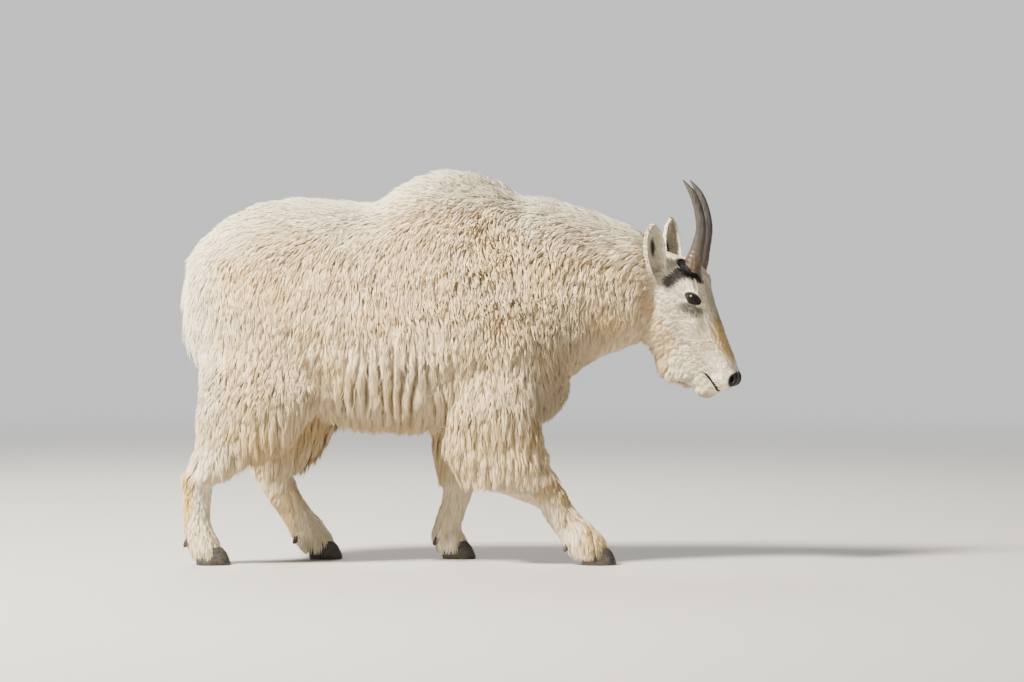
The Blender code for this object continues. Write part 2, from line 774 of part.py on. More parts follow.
def add_tiers(bm, rings, wool, draw):
    """Tiers of locks that overlap like tiles, on rings of roots. Returns the end loops.

    Each ring is a list of (place, outward way). Every other ring is turned by half a step, so
    that a lock's tip lies over the fold between the two locks below. Wool gives, for a place,
    the lift of the tips, the width near them, the most that the gap to the next tier counts for
    and how straight down they hang where the body falls away."""
    count = len(rings[0])
    first = [bm.verts.new(place) for place, _ in rings[0]]
    roots = first
    for i, (ring, below) in enumerate(zip(rings, rings[1:])):
        next_roots = [bm.verts.new(place) for place, _ in below]
        locks = []
        for j in range(count):
            under = (j + i % 2) % count
            middle = (ring[j][0] + ring[(j + 1) % count][0]) / 2
            out = (ring[j][1] + ring[(j + 1) % count][1] + below[under][1]).normalized()
            lift, blunt, most, hang = wool(middle)
            gap = below[under][0] - middle
            size = min(gap.length, most)
            hang = hang if gap.dot(out) < 0 else 0.0
            way = (gap.normalized() * (1 - hang) + Vector((0.0, 0.0, -1.0)) * hang).normalized()
            across = way.cross(out).normalized()
            out = across.cross(way)
            across *= math.copysign(1.0, across.dot(ring[(j + 1) % count][0] - ring[j][0]))
            sway = across * size * draw.uniform(-LOCK_VARIES[2], LOCK_VARIES[2])
            lift *= 1 + draw.uniform(-LOCK_VARIES[1], LOCK_VARIES[1])
            reach = size * (1 + draw.uniform(-LOCK_VARIES[0], LOCK_VARIES[0]))
            half = (ring[(j + 1) % count][0] - ring[j][0]).length / 2 * blunt
            fold, widest, tip = (share * reach for share in LOCK_SHARES)
            ridge_rise, side_rise, tip_rise, fold_rise = (share * lift for share in LOCK_RISES)
            bend = (below[under][1] - out) * 0.5
            broad = middle + way * widest + sway * 0.5
            locks.append(
                {
                    "fold": middle + way * fold,
                    "ridge": middle + way * fold + out * ridge_rise,
                    "left": broad - across * half + out * side_rise,
                    "top": broad + out * lift,
                    "right": broad + across * half + out * side_rise,
                    "tip": middle + way * tip + sway + (out + bend) * tip_rise,
                    "rise": out * fold_rise,
                }
            )
        folds = []
        for j in range(count):
            before = locks[j - 1]
            here = locks[j]
            folds.append(bm.verts.new((before["fold"] + here["fold"] + before["rise"] + here["rise"]) / 2))
        corners = [
            {part: bm.verts.new(lock[part]) for part in ("ridge", "left", "top", "right", "tip")}
            for lock in locks
        ]
        for j in range(count):
            k = (j + 1) % count
            under = (j + i % 2) % count
            lock = corners[j]
            bm.faces.new((roots[j], lock["ridge"], folds[j]))
            bm.faces.new((roots[j], roots[k], lock["ridge"]))
            bm.faces.new((roots[k], folds[k], lock["ridge"]))
            bm.faces.new((folds[j], lock["ridge"], lock["top"]))
            bm.faces.new((folds[j], lock["top"], lock["left"]))
            bm.faces.new((folds[k], lock["top"], lock["ridge"]))
            bm.faces.new((folds[k], lock["right"], lock["top"]))
            bm.faces.new((lock["left"], lock["top"], lock["tip"]))
            bm.faces.new((lock["top"], lock["right"], lock["tip"]))
            bm.faces.new((lock["left"], lock["tip"], lock["right"]))
            bm.faces.new((lock["left"], lock["right"], next_roots[under]))
            bm.faces.new((folds[j], lock["left"], next_roots[under]))
            bm.faces.new((folds[j], next_roots[under], next_roots[under - 1]))
            bm.faces.new((folds[j], next_roots[under - 1], corners[j - 1]["right"]))
        roots = next_roots
    return first, roots


def evenly(samples, shares):
    """The samples' (place, way) at shares of the length of the line through them."""
    lengths = [0.0]
    for (a, _), (b, _) in zip(samples, samples[1:]):
        lengths.append(lengths[-1] + (b - a).length)
    found = []
    for share in shares:
        wanted = share * lengths[-1]
        k = max(i for i, length in enumerate(lengths[:-1]) if length <= wanted)
        part = (wanted - lengths[k]) / (lengths[k + 1] - lengths[k])
        place = samples[k][0].lerp(samples[k + 1][0], part)
        found.append((place, samples[k][1].lerp(samples[k + 1][1], part).normalized()))
    return found


def fleece_stations():
    """Each section's x and its way to the side, once round the body from before the breast."""
    front, back = FLEECE_ENDS
    right = Vector((0.0, -1.0, 0.0))
    steps = FLEECE_SIDE_STEPS
    sides = [(front + (back - front) * k / steps, right) for k in range(steps + 1)]
    rump = [math.pi * k / FLEECE_RUMP_STEPS for k in range(1, FLEECE_RUMP_STEPS)]
    breast = [math.pi * k / FLEECE_BREAST_STEPS for k in range(1, FLEECE_BREAST_STEPS)]
    stations = [*sides]
    stations += [(back, Vector((-math.sin(turn), -math.cos(turn), 0.0))) for turn in rump]
    stations += [(x, -way) for x, way in reversed(sides)]
    stations += [(front, Vector((math.sin(turn), math.cos(turn), 0.0))) for turn in breast]
    turned = FLEECE_BREAST_STEPS // 2
    return stations[-turned:] + stations[:-turned]


def section(tree, x, side):
    """Where the tiers cross one section of the core, with the ways out of the body there."""
    middle = Vector((x, 0.0, interpolated(FLEECE_MIDDLES, x)))
    samples = []
    for angle in range(FLEECE_ANGLES[0], FLEECE_ANGLES[1] + 1, 3):
        turn = math.radians(angle)
        way = side * math.sin(turn) + Vector((0.0, 0.0, math.cos(turn)))
        hit, normal, *_ = tree.ray_cast(middle + way * 0.9, -way)
        samples.append((hit, (normal + way).normalized()))
    return evenly(samples, [i / FLEECE_TIERS for i in range(FLEECE_TIERS + 1)])


def fleece_rings(tree):
    """Roots of each tier round the trunk and neck, evenly spaced along it."""
    sections = [section(tree, x, side) for x, side in fleece_stations()]
    sections.append(sections[0])
    rings = []
    for i in range(FLEECE_TIERS + 1):
        shares = [(j + 0.5 * (i % 2)) / FLEECE_LOCKS for j in range(FLEECE_LOCKS)]
        slant = FLEECE_SLANT * min(i, 4)
        shares = [share + slant * math.sin(math.tau * share) for share in shares]
        rings.append(evenly([crossings[i] for crossings in sections], shares))
    rings[0] = [(place + out * fleece_wool(place)[0] * 0.9, out) for place, out in rings[0]]
    return rings


def fleece_wool(place):
    """What the tiers need to know of the wool at a place on the trunk or neck."""
    coat = interpolated([(row[0], row[5]) for row in TRUNK], place.x)
    if place.x > NECK_FROM:
        coat = interpolated([(row[0], row[5]) for row in NECK], place.x)
    lift = coat * (1 - CORE_SHARE)
    if place.x > SMOOTH_FROM:
        return SMOOTH_LIFT, 0.90, 0.060, 0.0
    if place.x > SHOULDER_FROM[0] and place.z > SHOULDER_FROM[1]:
        return lift, 0.86, FLEECE_GAP * 0.9, 0.0
    if place.z > BACK_FROM:
        return lift, 0.80, FLEECE_GAP, 0.0
    return lift, 0.64, FLEECE_GAP, 0.25 if place.z < FRINGE_TO else 0.0


def close_across(bm, ring):
    """Closes a long loop with faces from its right side to its left."""
    count = len(ring)
    for j in range(count // 2):
        corners = (ring[j], ring[j + 1], ring[(count - j - 1) % count], ring[(count - j) % count])
        bm.faces.new(list(dict.fromkeys(corners)))


def make_fleece(tree, draw):
    def build(bm):
        for ring in add_tiers(bm, fleece_rings(tree), fleece_wool, draw):
            close_across(bm, ring)

    return new_object("fleece", mesh_from("fleece", build))


def tube_rings(rows, count):
    """Rings (place, outward way) round upright tubes, every other one turned by half a step."""
    rings = []
    for i, (x, y, z, half_depth, half_width, slope) in enumerate(rows):
        ring = []
        for j in range(count):
            turn = math.tau * (j + 0.5 * (i % 2)) / count
            way = Vector((math.cos(turn), math.sin(turn), 0.0))
            place = Vector((x + way.x * half_depth, y + way.y * half_width, z + way.x * slope))
            ring.append((place, way))
        rings.append(ring)
    return rings


def leg_wool(place):
    return LEG_LIFT, 0.66, LEG_GAP, 0.6


def add_leg(bm, foot, draw):
    """One leg: long wool in tiers above, and a smooth shank down into the hoof."""
    wool_rows = LEG_WOOL[foot]
    rings = tube_rings(wool_rows, LEG_LOCKS)
    first, here = add_tiers(bm, rings, leg_wool, draw)
    bm.faces.new(first)
    points = [Vector(row[:3]) for row in SHANKS[foot]]
    sizes = [row[3:] for row in SHANKS[foot]]
    for ring in path_rings(points, sizes, LEG_LOCKS, 0.5 * ((len(wool_rows) - 1) % 2)):
        there = [bm.verts.new(place) for place in ring]
        for j in range(LEG_LOCKS):
            k = (j + 1) % LEG_LOCKS
            bm.faces.new((here[j], here[k], there[k], there[j]))
        here = there
    bm.faces.new(here)


def add_tail(bm, draw):
    rows = []
    for x, z, half_width, half_thickness, coat in TAIL:
        inset = CORE_SHARE * coat
        rows.append((x, 0.0, z, half_thickness - inset, half_width - inset, 0.0))
    rings = tube_rings(rows, TAIL_LOCKS)
    for ring in add_tiers(bm, rings, lambda place: (TAIL_LIFT, 0.66, TAIL_GAP, 0.4), draw):
        bm.faces.new(ring)


def add_beard(bm, draw):
    rings = tube_rings(BEARD, BEARD_LOCKS)
    for ring in add_tiers(bm, rings, lambda place: (BEARD_LIFT, 0.66, BEARD_GAP, 0.5), draw):
        bm.faces.new(ring)


def add_mane_lock(bm, x, tree, draw):
    """A single flat tapered lock with a low ridge, its root sunk in the back."""
    length, width, droop = MANE_LOCK
    start = Vector((x, draw.uniform(-0.012, 0.012), 1.5))
    root, out, *_ = tree.ray_cast(start, Vector((0.0, 0.0, -1.0)))
    lift = fleece_wool(root)[0]
    way = Vector((-1.0, 0.0, 0.0))
    way = (way - out * way.dot(out)).normalized()
    across = way.cross(out).normalized()
    length *= draw.uniform(0.9, 1.1)
    sway = across * length * draw.uniform(-0.12, 0.12)

    def middle(share, rise):
        along = way * length * share + sway * max(share, 0.0)
        return root + along + out * (lift * rise - droop * share**2)

    rings = []
    for share, rise, wide in ((-0.15, 0.30, 0.75), (0.40, 0.85, 1.0), (0.74, 1.05, 0.66)):
        half = across * width * wide / 2
        low = middle(share, rise) - out * LOCK_THICKNESS * 0.4
        rings.append((low + half, low + out * LOCK_THICKNESS, low - half))
    add_loft(bm, rings, middle(1.0, 1.0))


def grow_wool(head, draw):
    """The whole coat and the head, fused into one closed surface."""
    core = fused("core", core_forms, CORE_VOXEL, CORE_SMOOTHING, CORE_TRIANGLES)
    tree = BVHTree.FromObject(core, bpy.context.evaluated_depsgraph_get())
    bpy.data.objects.remove(core)
    whole = make_fleece(tree, draw)
    pieces = bpy.data.collections.new("pieces")
    bpy.context.scene.collection.children.link(pieces)
    for foot in SHANKS:
        new_object("leg", mesh_from("leg", lambda bm: add_leg(bm, foot, draw)), pieces)
    for x in MANE:
        new_object("mane", mesh_from("mane", lambda bm: add_mane_lock(bm, x, tree, draw)), pieces)
    new_object("beard", mesh_from("beard", lambda bm: add_beard(bm, draw)), pieces)
    new_object("head", head.data, pieces)
    boolean(whole, pieces, "UNION")
    for piece in list(pieces.objects):
        bpy.data.objects.remove(piece)
    bpy.data.collections.remove(pieces)
    keep_largest(whole)
    return whole


# Parting the whole into its nodes


def block(name, corners):
    """A convex block with its corners given by hand."""

    def build(bm):
        for corner in corners:
            bm.verts.new(corner)
        bmesh.ops.convex_hull(bm, input=bm.verts)

    return new_object(name, mesh_from(name, build))


def slab_corners(low, high, y_low, y_high):
    """Corners of a block whose ends are lines in the XZ plane: ((x, z), (x, z)) at each end."""
    return [(x, y, z) for x, z in (*low, *high) for y in (y_low, y_high)]


def front_corners(cut):
    """A block round everything in front of a cut."""
    return slab_corners(cut, [(1.2, z) for _, z in cut], -0.5, 0.5)


def leg_corners(x_back, x_front, side, outer_top, inner_top):
    """A block round one leg whose roof slopes down towards the body's middle."""
    inner = side * 0.004
    outer = side * 0.26
    corners = []
    for x in (x_back, x_front):
        corners += [(x, inner, -0.1), (x, outer, -0.1), (x, inner, inner_top), (x, outer, outer_top)]
    return corners


def lower_leg_corners(foot):
    """A block round the leg below its long wool."""
    top, back, back_foot, front, front_foot = LOWER_LEG_BLOCKS[foot]
    middle = SHANKS[foot][-1][1]
    sides = (middle - LOWER_LEG_HALF_WIDTH, middle + LOWER_LEG_HALF_WIDTH)
    return slab_corners(((back, top), (back_foot, -0.01)), ((front, top), (front_foot, -0.01)), *sides)


def shrunk_about(corners, amount):
    """The same block with each face about amount further in."""
    middle = sum((Vector(c) for c in corners), Vector()) / len(corners)
    moved = []
    for corner in corners:
        corner = Vector(corner)
        moved.append(
            Vector(c - math.copysign(amount, c - m) for c, m in zip(corner, middle))
        )
    return moved


def part_off(whole, name, corners):
    """Takes what lies in the block off the whole, as a node of its own with a gap round it."""
    cutter = block("cutter", corners)
    inner = block("inner", shrunk_about(corners, GAP))
    node = copy_of(whole, name)
    boolean(node, inner, "INTERSECT")
    boolean(whole, cutter, "DIFFERENCE")
    bpy.data.objects.remove(cutter)
    bpy.data.objects.remove(inner)
    keep_largest(node)
    return node


def divide(whole):
    nodes = []
    nodes.append(part_off(whole, "head", front_corners(HEAD_CUT)))
    for foot, sizes in LEG_BLOCKS.items():
        leg = part_off(whole, "upper_leg_" + foot, leg_corners(*sizes))
        nodes.append(part_off(leg, "lower_leg_" + foot, lower_leg_corners(foot)))
        nodes.append(leg)
    nodes.append(part_off(whole, "neck", front_corners(NECK_CUT)))
    for node in nodes:
        keep_largest(node)
    keep_largest(whole)
    whole.name = "torso"
    return [*nodes, whole]


def carve(target, tool):
    """Cuts room for tool out of target, with a gap round it wherever normals give one."""
    for amount in (GAP * 1.2, 0.0):
        grown = copy_of(tool, "grown", amount)
        boolean(target, grown, "DIFFERENCE")
        bpy.data.objects.remove(grown)
    keep_largest(target)


def centre_on_origin(objects):
    """Moves the meshes so that the middle of their bounding box is over the origin."""
    shift = Vector((0.0, 0.0, 0.0))
    for axis in (0, 1):
        values = [vertex.co[axis] for obj in objects for vertex in obj.data.vertices]
        shift[axis] = -(min(values) + max(values)) / 2
    for obj in objects:
        obj.data.transform(Matrix.Translation(shift))


def main():
    clear_scene()
    coat = material("coat", COAT_COLOUR, 0.9)
    horn_finish = material("horn", HORN_COLOUR, 0.4)
    hoof_finish = material("hoof", HOOF_COLOUR, 0.6)
    eye_finish = material("eye", EYE_COLOUR, 0.1)

    head, centres = make_head()
    draw = random.Random(LOCK_SEED)
    whole = grow_wool(head, draw)
    bpy.data.objects.remove(head)
    tail = new_object("tail", mesh_from("tail", lambda bm: add_tail(bm, draw)))
    carve(whole, tail)

    names = {1: "left", -1: "right"}
    eyes = [make_eye("eye_" + names[s], centres[s]) for s in (1, -1)]
    horns = [make_horn("horn_" + names[s], s) for s in (1, -1)]
    ears = [make_ear("ear_" + names[s], s) for s in (1, -1)]
    for piece in (*eyes, *horns, *ears):
        carve(whole, piece)

    nodes = [*divide(whole), tail]
    by_name = {node.name: node for node in nodes}
    hooves = []
    for foot in FEET:
        lower = by_name["lower_leg_" + foot]
        for side, which in ((1, "left"), (-1, "right")):
            toe = make_toe(f"hoof_{foot}_{which}", foot, side)
            claw = make_dewclaw(f"dewclaw_{foot}_{which}", foot, side)
            carve(lower, toe)
            carve(lower, claw)
            hooves += [toe, claw]

    for obj in nodes + ears:
        obj.data.materials.clear()
        obj.data.materials.append(coat)
    for obj in horns:
        obj.data.materials.clear()
        obj.data.materials.append(horn_finish)
    for obj in hooves:
        obj.data.materials.append(hoof_finish)
    for obj in eyes:
        obj.data.materials.append(eye_finish)
    everything = [*nodes, *ears, *horns, *eyes, *hooves]
    centre_on_origin(everything)
    for obj in everything:
        obj.data.shade_smooth()
        obj.data.set_sharp_from_angle(angle=math.radians(SHARP_DEG))


main()
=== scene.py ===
# %% [markdown]
# A mountain goat in short summer wool, life size. The imported solids say where everything is. This
# lesson gives the goat one skin, its eyes, horns and hooves, and then a coat of small mesh tufts.
# We start by loading the solids, which stay where they are.

# %% Load the solids
import math

import bmesh
import bpy
import numpy as np
from mathutils import Matrix, Vector
from mathutils.bvhtree import BVHTree
from mathutils.kdtree import KDTree


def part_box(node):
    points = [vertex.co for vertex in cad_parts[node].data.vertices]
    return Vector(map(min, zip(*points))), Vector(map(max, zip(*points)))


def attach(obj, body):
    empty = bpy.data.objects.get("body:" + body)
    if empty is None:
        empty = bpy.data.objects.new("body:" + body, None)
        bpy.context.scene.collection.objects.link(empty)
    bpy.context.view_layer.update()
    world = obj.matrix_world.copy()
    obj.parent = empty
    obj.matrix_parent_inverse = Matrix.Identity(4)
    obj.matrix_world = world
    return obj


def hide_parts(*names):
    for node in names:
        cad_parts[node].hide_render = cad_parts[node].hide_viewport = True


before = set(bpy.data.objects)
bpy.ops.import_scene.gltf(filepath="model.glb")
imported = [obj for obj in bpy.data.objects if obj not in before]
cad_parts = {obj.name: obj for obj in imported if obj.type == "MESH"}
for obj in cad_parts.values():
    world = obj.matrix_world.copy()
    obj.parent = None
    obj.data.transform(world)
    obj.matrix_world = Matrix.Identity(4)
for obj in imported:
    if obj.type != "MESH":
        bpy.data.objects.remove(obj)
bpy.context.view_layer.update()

# %% [markdown]
# The head has axes of its own: along from the poll to the nose, out through the forehead, and to
# the goat's left. A matrix turns them to the world. The solids were centred over the origin after
# they were made, so we measure that small shift at the tip of the left horn, which is one vertex.

# %% The head's axes and the shift of the solids
POLL = Vector((0.525, -0.012, 0.757))
FACE_PITCH = math.radians(65.5)
HEAD_TURN = math.radians(-17.0)
HEAD_TILT = math.radians(-1.0)
HORN = (
    (0.042, 0.041, 0.0285, 0.0225),
    (0.020, 0.062, 0.0290, 0.0205),
    (0.000, 0.079, 0.0295, 0.0165),
    (-0.033, 0.104, 0.0305, 0.0132),
    (-0.058, 0.1155, 0.0315, 0.0120),
    (-0.095, 0.124, 0.0330, 0.0106),
    (-0.127, 0.1265, 0.0345, 0.0086),
    (-0.150, 0.1235, 0.0355, 0.0060),
    (-0.174, 0.118, 0.0365, 0.0016),
)


def head_matrix():
    axes = Matrix(
        (
            (math.cos(FACE_PITCH), math.sin(FACE_PITCH), 0.0),
            (0.0, 0.0, 1.0),
            (-math.sin(FACE_PITCH), math.cos(FACE_PITCH), 0.0),
        )
    )
    tilt = Matrix.Rotation(HEAD_TILT, 3, "X")
    turn = Matrix.Rotation(HEAD_TURN, 3, "Z")
    return Matrix.Translation(POLL) @ (turn @ tilt @ axes).to_4x4()


horn_tip = max((v.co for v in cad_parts["horn_left"].data.vertices), key=lambda co: co.z)
SHIFT = horn_tip - head_matrix() @ Vector(HORN[-1][:3])
HEAD = Matrix.Translation(SHIFT) @ head_matrix()
BODY = Matrix.Translation(SHIFT)
print("shift:", [round(v, 4) for v in SHIFT])

# %% [markdown]
# The camera stands well back with a long lens, as the photographer did, a little above the floor
# and square to the goat's right side. Its width takes in the whole animal and some room round it.

# %% Camera
CAMERA_DISTANCE = 12.0
CAMERA_ELEVATION = math.radians(2.0)
CAMERA_AIM = Vector((0.12, 0.0, 0.558)) + SHIFT
SENSOR_WIDTH = 36.0
FRAME_PIXELS = 1024
PIXELS_PER_METRE = 396

camera_data = bpy.data.cameras.new("camera")
camera = bpy.data.objects.new("camera", camera_data)
bpy.context.scene.collection.objects.link(camera)
camera_data.sensor_width = SENSOR_WIDTH
camera_data.lens = SENSOR_WIDTH * PIXELS_PER_METRE * CAMERA_DISTANCE / FRAME_PIXELS
camera_data.clip_end = 200.0
backwards = Vector((0.0, -math.cos(CAMERA_ELEVATION), math.sin(CAMERA_ELEVATION)))
camera.location = CAMERA_AIM + backwards * CAMERA_DISTANCE
camera.rotation_mode = "QUATERNION"
camera.rotation_quaternion = (-backwards).to_track_quat("-Z", "Y")
bpy.context.scene.camera = camera
print("lens:", round(camera_data.lens, 1), "mm")

# %% [markdown]
# Every finish here is made of shader nodes, so a small helper adds and links them. It holds the
# steps that come back in each recipe: mixing colours, a noise on Object coordinates, and bump.

# %% Helper for materials
class Nodes:
    """Adds shader nodes to one material and links them."""

    def __init__(self, name):
        self.material = bpy.data.materials.new(name)
        self.material.use_nodes = True
        self.tree = self.material.node_tree
        self.shader = self.tree.nodes["Principled BSDF"]

    def add(self, kind, **settings):
        node = self.tree.nodes.new(kind)
        for key, value in settings.items():
            setattr(node, key, value)
        return node

    def link(self, output, socket):
        self.tree.links.new(output, socket)

    def mix(self, share, first, second, blend="MIX"):
        """Two colours mixed by a share. Each is an output or a constant."""
        node = self.add("ShaderNodeMix", data_type="RGBA", blend_type=blend)
        for index, value in ((0, share), (6, first), (7, second)):
            if isinstance(value, bpy.types.NodeSocket):
                self.link(value, node.inputs[index])
            else:
                node.inputs[index].default_value = value
        return node.outputs[2]

    def maths(self, operation, first, second, clamp=False):
        node = self.add("ShaderNodeMath", operation=operation, use_clamp=clamp)
        for index, value in ((0, first), (1, second)):
            if isinstance(value, bpy.types.NodeSocket):
                self.link(value, node.inputs[index])
            else:
                node.inputs[index].default_value = value
        return node.outputs[0]

    def noise(self, scale, detail=3.0, stretch=(1.0, 1.0, 1.0)):
        """A noise on Object coordinates, from 0 to 1."""
        place = self.add("ShaderNodeTexCoord")
        mapping = self.add("ShaderNodeMapping")
        mapping.inputs["Scale"].default_value = stretch
        noise = self.add("ShaderNodeTexNoise")
        noise.inputs["Scale"].default_value = scale
        noise.inputs["Detail"].default_value = detail
        self.link(place.outputs["Object"], mapping.inputs["Vector"])
        self.link(mapping.outputs["Vector"], noise.inputs["Vector"])
        return noise.outputs["Fac"]

    def ramp(self, value, *stops):
        """A colour ramp with stops of place and grey level."""
        node = self.add("ShaderNodeValToRGB")
        while len(node.color_ramp.elements) < len(stops):
            node.color_ramp.elements.new(0.5)
        for element, (place, level) in zip(node.color_ramp.elements, stops):
            element.position = place
            element.color = (level, level, level, 1.0)
        self.link(value, node.inputs["Fac"])
        return node.outputs["Color"]

    def bump(self, value, strength, distance):
        node = self.add("ShaderNodeBump")
        node.inputs["Strength"].default_value = strength
        node.inputs["Distance"].default_value = distance
        self.link(value, node.inputs["Height"])
        self.link(node.outputs["Normal"], self.shader.inputs["Normal"])

    def attribute(self, name):
        return self.add("ShaderNodeAttribute", attribute_name=name)


print("material helper:", Nodes.__name__)

# %% [markdown]
# A studio for a museum model: a pale floor that fades into a pale world, one large warm light high
# on the left like the sun in the photo, and weaker ones that soften the shadows on other sides.
# The world is palest at the horizon and dimmer above, so that the light keeps its direction.

# %% Floor and lights
FLOOR_COLOUR = (0.42, 0.405, 0.385, 1.0)
FLOOR_FADES = (2.6, 8.0)
WORLD_COLOUR = (0.84, 0.845, 0.86, 1.0)
WORLD_STRENGTH = 1.0
WORLD_ABOVE = 0.30
WORLD_DIMS = (0.06, 0.20)
LIGHTS = {
    "key": ((-3.7, -2.4, 5.5), 1.6, 2500.0, (1.0, 0.94, 0.82)),
    "fill": ((3.6, -3.6, 1.6), 3.0, 12.0, (0.93, 0.96, 1.0)),
    "rim": ((-0.8, 3.8, 3.8), 2.6, 260.0, (1.0, 0.98, 0.95)),
}


def deselect_all():
    bpy.ops.object.select_all(action="DESELECT")


def make_floor_material():
    nodes = Nodes("pale floor")
    nodes.shader.inputs["Base Color"].default_value = FLOOR_COLOUR
    nodes.shader.inputs["Roughness"].default_value = 0.85
    place = nodes.add("ShaderNodeTexCoord")
    away = nodes.add("ShaderNodeVectorMath", operation="LENGTH")
    nodes.link(place.outputs["Object"], away.inputs[0])
    fade = nodes.add("ShaderNodeMapRange", interpolation_type="SMOOTHSTEP")
    fade.inputs["From Min"].default_value, fade.inputs["From Max"].default_value = FLOOR_FADES
    nodes.link(away.outputs["Value"], fade.inputs["Value"])
    glow = nodes.add("ShaderNodeEmission")
    glow.inputs["Color"].default_value = WORLD_COLOUR
    glow.inputs["Strength"].default_value = WORLD_STRENGTH
    mixed = nodes.add("ShaderNodeMixShader")
    nodes.link(fade.outputs["Result"], mixed.inputs["Fac"])
    nodes.link(nodes.shader.outputs["BSDF"], mixed.inputs[1])
    nodes.link(glow.outputs["Emission"], mixed.inputs[2])
    nodes.link(mixed.outputs["Shader"], nodes.tree.nodes["Material Output"].inputs["Surface"])
    return nodes.material


deselect_all()
bpy.ops.mesh.primitive_circle_add(vertices=96, radius=60.0, fill_type="NGON")
floor = bpy.context.object
floor.name = "floor"
floor.data.materials.append(make_floor_material())

for name, (place, size, power, colour) in LIGHTS.items():
    light_data = bpy.data.lights.new(name, "AREA")
    light_data.shape = "DISK"
    light_data.size = size
    light_data.energy = power
    light_data.color = colour
    light = bpy.data.objects.new(name, light_data)
    bpy.context.scene.collection.objects.link(light)
    light.location = place
    light.rotation_mode = "QUATERNION"
    light.rotation_quaternion = (Vector((0.0, 0.0, 0.55)) - light.location).to_track_quat("-Z", "Y")

world = bpy.data.worlds.new("pale studio")
world.use_nodes = True
tree = world.node_tree
background = tree.nodes["Background"]
background.inputs["Color"].default_value = WORLD_COLOUR
direction = tree.nodes.new("ShaderNodeTexCoord")
split = tree.nodes.new("ShaderNodeSeparateXYZ")
dimming = tree.nodes.new("ShaderNodeMapRange")
dimming.interpolation_type = "SMOOTHSTEP"
dimming.inputs["From Min"].default_value, dimming.inputs["From Max"].default_value = WORLD_DIMS
dimming.inputs["To Min"].default_value = WORLD_STRENGTH
dimming.inputs["To Max"].default_value = WORLD_ABOVE
tree.links.new(direction.outputs["Generated"], split.inputs["Vector"])
tree.links.new(split.outputs["Z"], dimming.inputs["Value"])
tree.links.new(dimming.outputs["Result"], background.inputs["Strength"])
bpy.context.scene.world = world
print("lights:", ", ".join(LIGHTS))

# %% [markdown]
# Round forms such as a trunk, a leg or a horn are lofts: one circle, extruded again and again, with
# each new edge laid on the next ring. We extrude the end face in edit mode, as by hand, and then
# put its corners where the ring wants them. Every later piece uses this helper.

# %% A loft by repeated extrusion
def loft(name, rings):
    """A closed tube through rings of equal count, made by extruding its end face."""
    deselect_all()
    bpy.ops.mesh.primitive_circle_add(vertices=len(rings[0]), radius=1.0, fill_type="NGON")
    made = bpy.context.object
    made.name = name
    bpy.ops.object.mode_set(mode="EDIT")
    bm = bmesh.from_edit_mesh(made.data)
    bm.verts.ensure_lookup_table()
    for vertex, place in zip(bm.verts, rings[0]):
        vertex.co = place
    before = np.array([tuple(p) for p in rings[0]])
    for ring in rings[1:]:
        bpy.ops.mesh.extrude_region_move()
        bm = bmesh.from_edit_mesh(made.data)
        for vertex in [v for v in bm.verts if v.select]:
            nearest = int(np.argmin(((before - np.array(vertex.co)) ** 2).sum(1)))
            vertex.co = ring[nearest]
        before = np.array([tuple(p) for p in ring])
    bmesh.update_edit_mesh(made.data)
    bpy.ops.mesh.select_all(action="SELECT")
    bpy.ops.mesh.normals_make_consistent(inside=False)
    bpy.ops.object.mode_set(mode="OBJECT")
    return made


def only(*objects):
    """Selects these objects alone, and makes the first one active."""
    deselect_all()
    for obj in objects:
        obj.select_set(True)
    bpy.context.view_layer.objects.active = objects[0]


def apply_modifier(obj, kind, **settings):
    modifier = obj.modifiers.new(kind.lower(), kind)
    for key, value in settings.items():
        setattr(modifier, key, value)
    only(obj)
    bpy.ops.object.modifier_apply(modifier=modifier.name)


def fused(name, parts, voxel, rounds):
    """Overlapping closed forms made one even, smooth surface."""
    only(*parts)
    bpy.ops.object.join()
    made = bpy.context.object
    made.name = name
    apply_modifier(made, "REMESH", mode="VOXEL", voxel_size=voxel)
    apply_modifier(made, "SMOOTH", factor=0.5, iterations=rounds)
    return made


def power_curve(value, exponent):
    return math.copysign(abs(value) ** exponent, value)


# %% [markdown]
# The trunk and neck. A row gives, for one place along the goat, the top and bottom of the coat, its
# half width, the height where the body is widest, and how deep the wool is. The skin lies inside
# the tips of the wool by half of that depth, as the cores of the solids do.

# %% Trunk and neck
SKIN_SHARE = 0.5
TRUNK = (
    (-0.690, 0.740, 0.560, 0.060, 0.660, 0.030),
    (-0.672, 0.795, 0.500, 0.105, 0.660, 0.034),
    (-0.640, 0.838, 0.460, 0.138, 0.655, 0.036),
    (-0.585, 0.880, 0.430, 0.160, 0.650, 0.038),
    (-0.500, 0.917, 0.400, 0.174, 0.640, 0.040),
    (-0.400, 0.926, 0.372, 0.182, 0.620, 0.042),
    (-0.300, 0.918, 0.345, 0.188, 0.600, 0.044),
    (-0.225, 0.914, 0.332, 0.190, 0.585, 0.046),
    (-0.187, 0.932, 0.330, 0.190, 0.580, 0.047),
    (-0.150, 0.958, 0.328, 0.189, 0.575, 0.048),
    (-0.110, 0.983, 0.328, 0.187, 0.570, 0.052),
    (-0.050, 1.000, 0.328, 0.184, 0.570, 0.056),
    (0.000, 1.000, 0.330, 0.180, 0.570, 0.056),
    (0.055, 0.985, 0.336, 0.174, 0.570, 0.054),
    (0.110, 0.958, 0.345, 0.166, 0.570, 0.050),
    (0.160, 0.925, 0.347, 0.152, 0.565, 0.048),
    (0.205, 0.880, 0.350, 0.130, 0.560, 0.046),
    (0.235, 0.800, 0.376, 0.106, 0.560, 0.044),
    (0.254, 0.720, 0.420, 0.070, 0.560, 0.040),
)
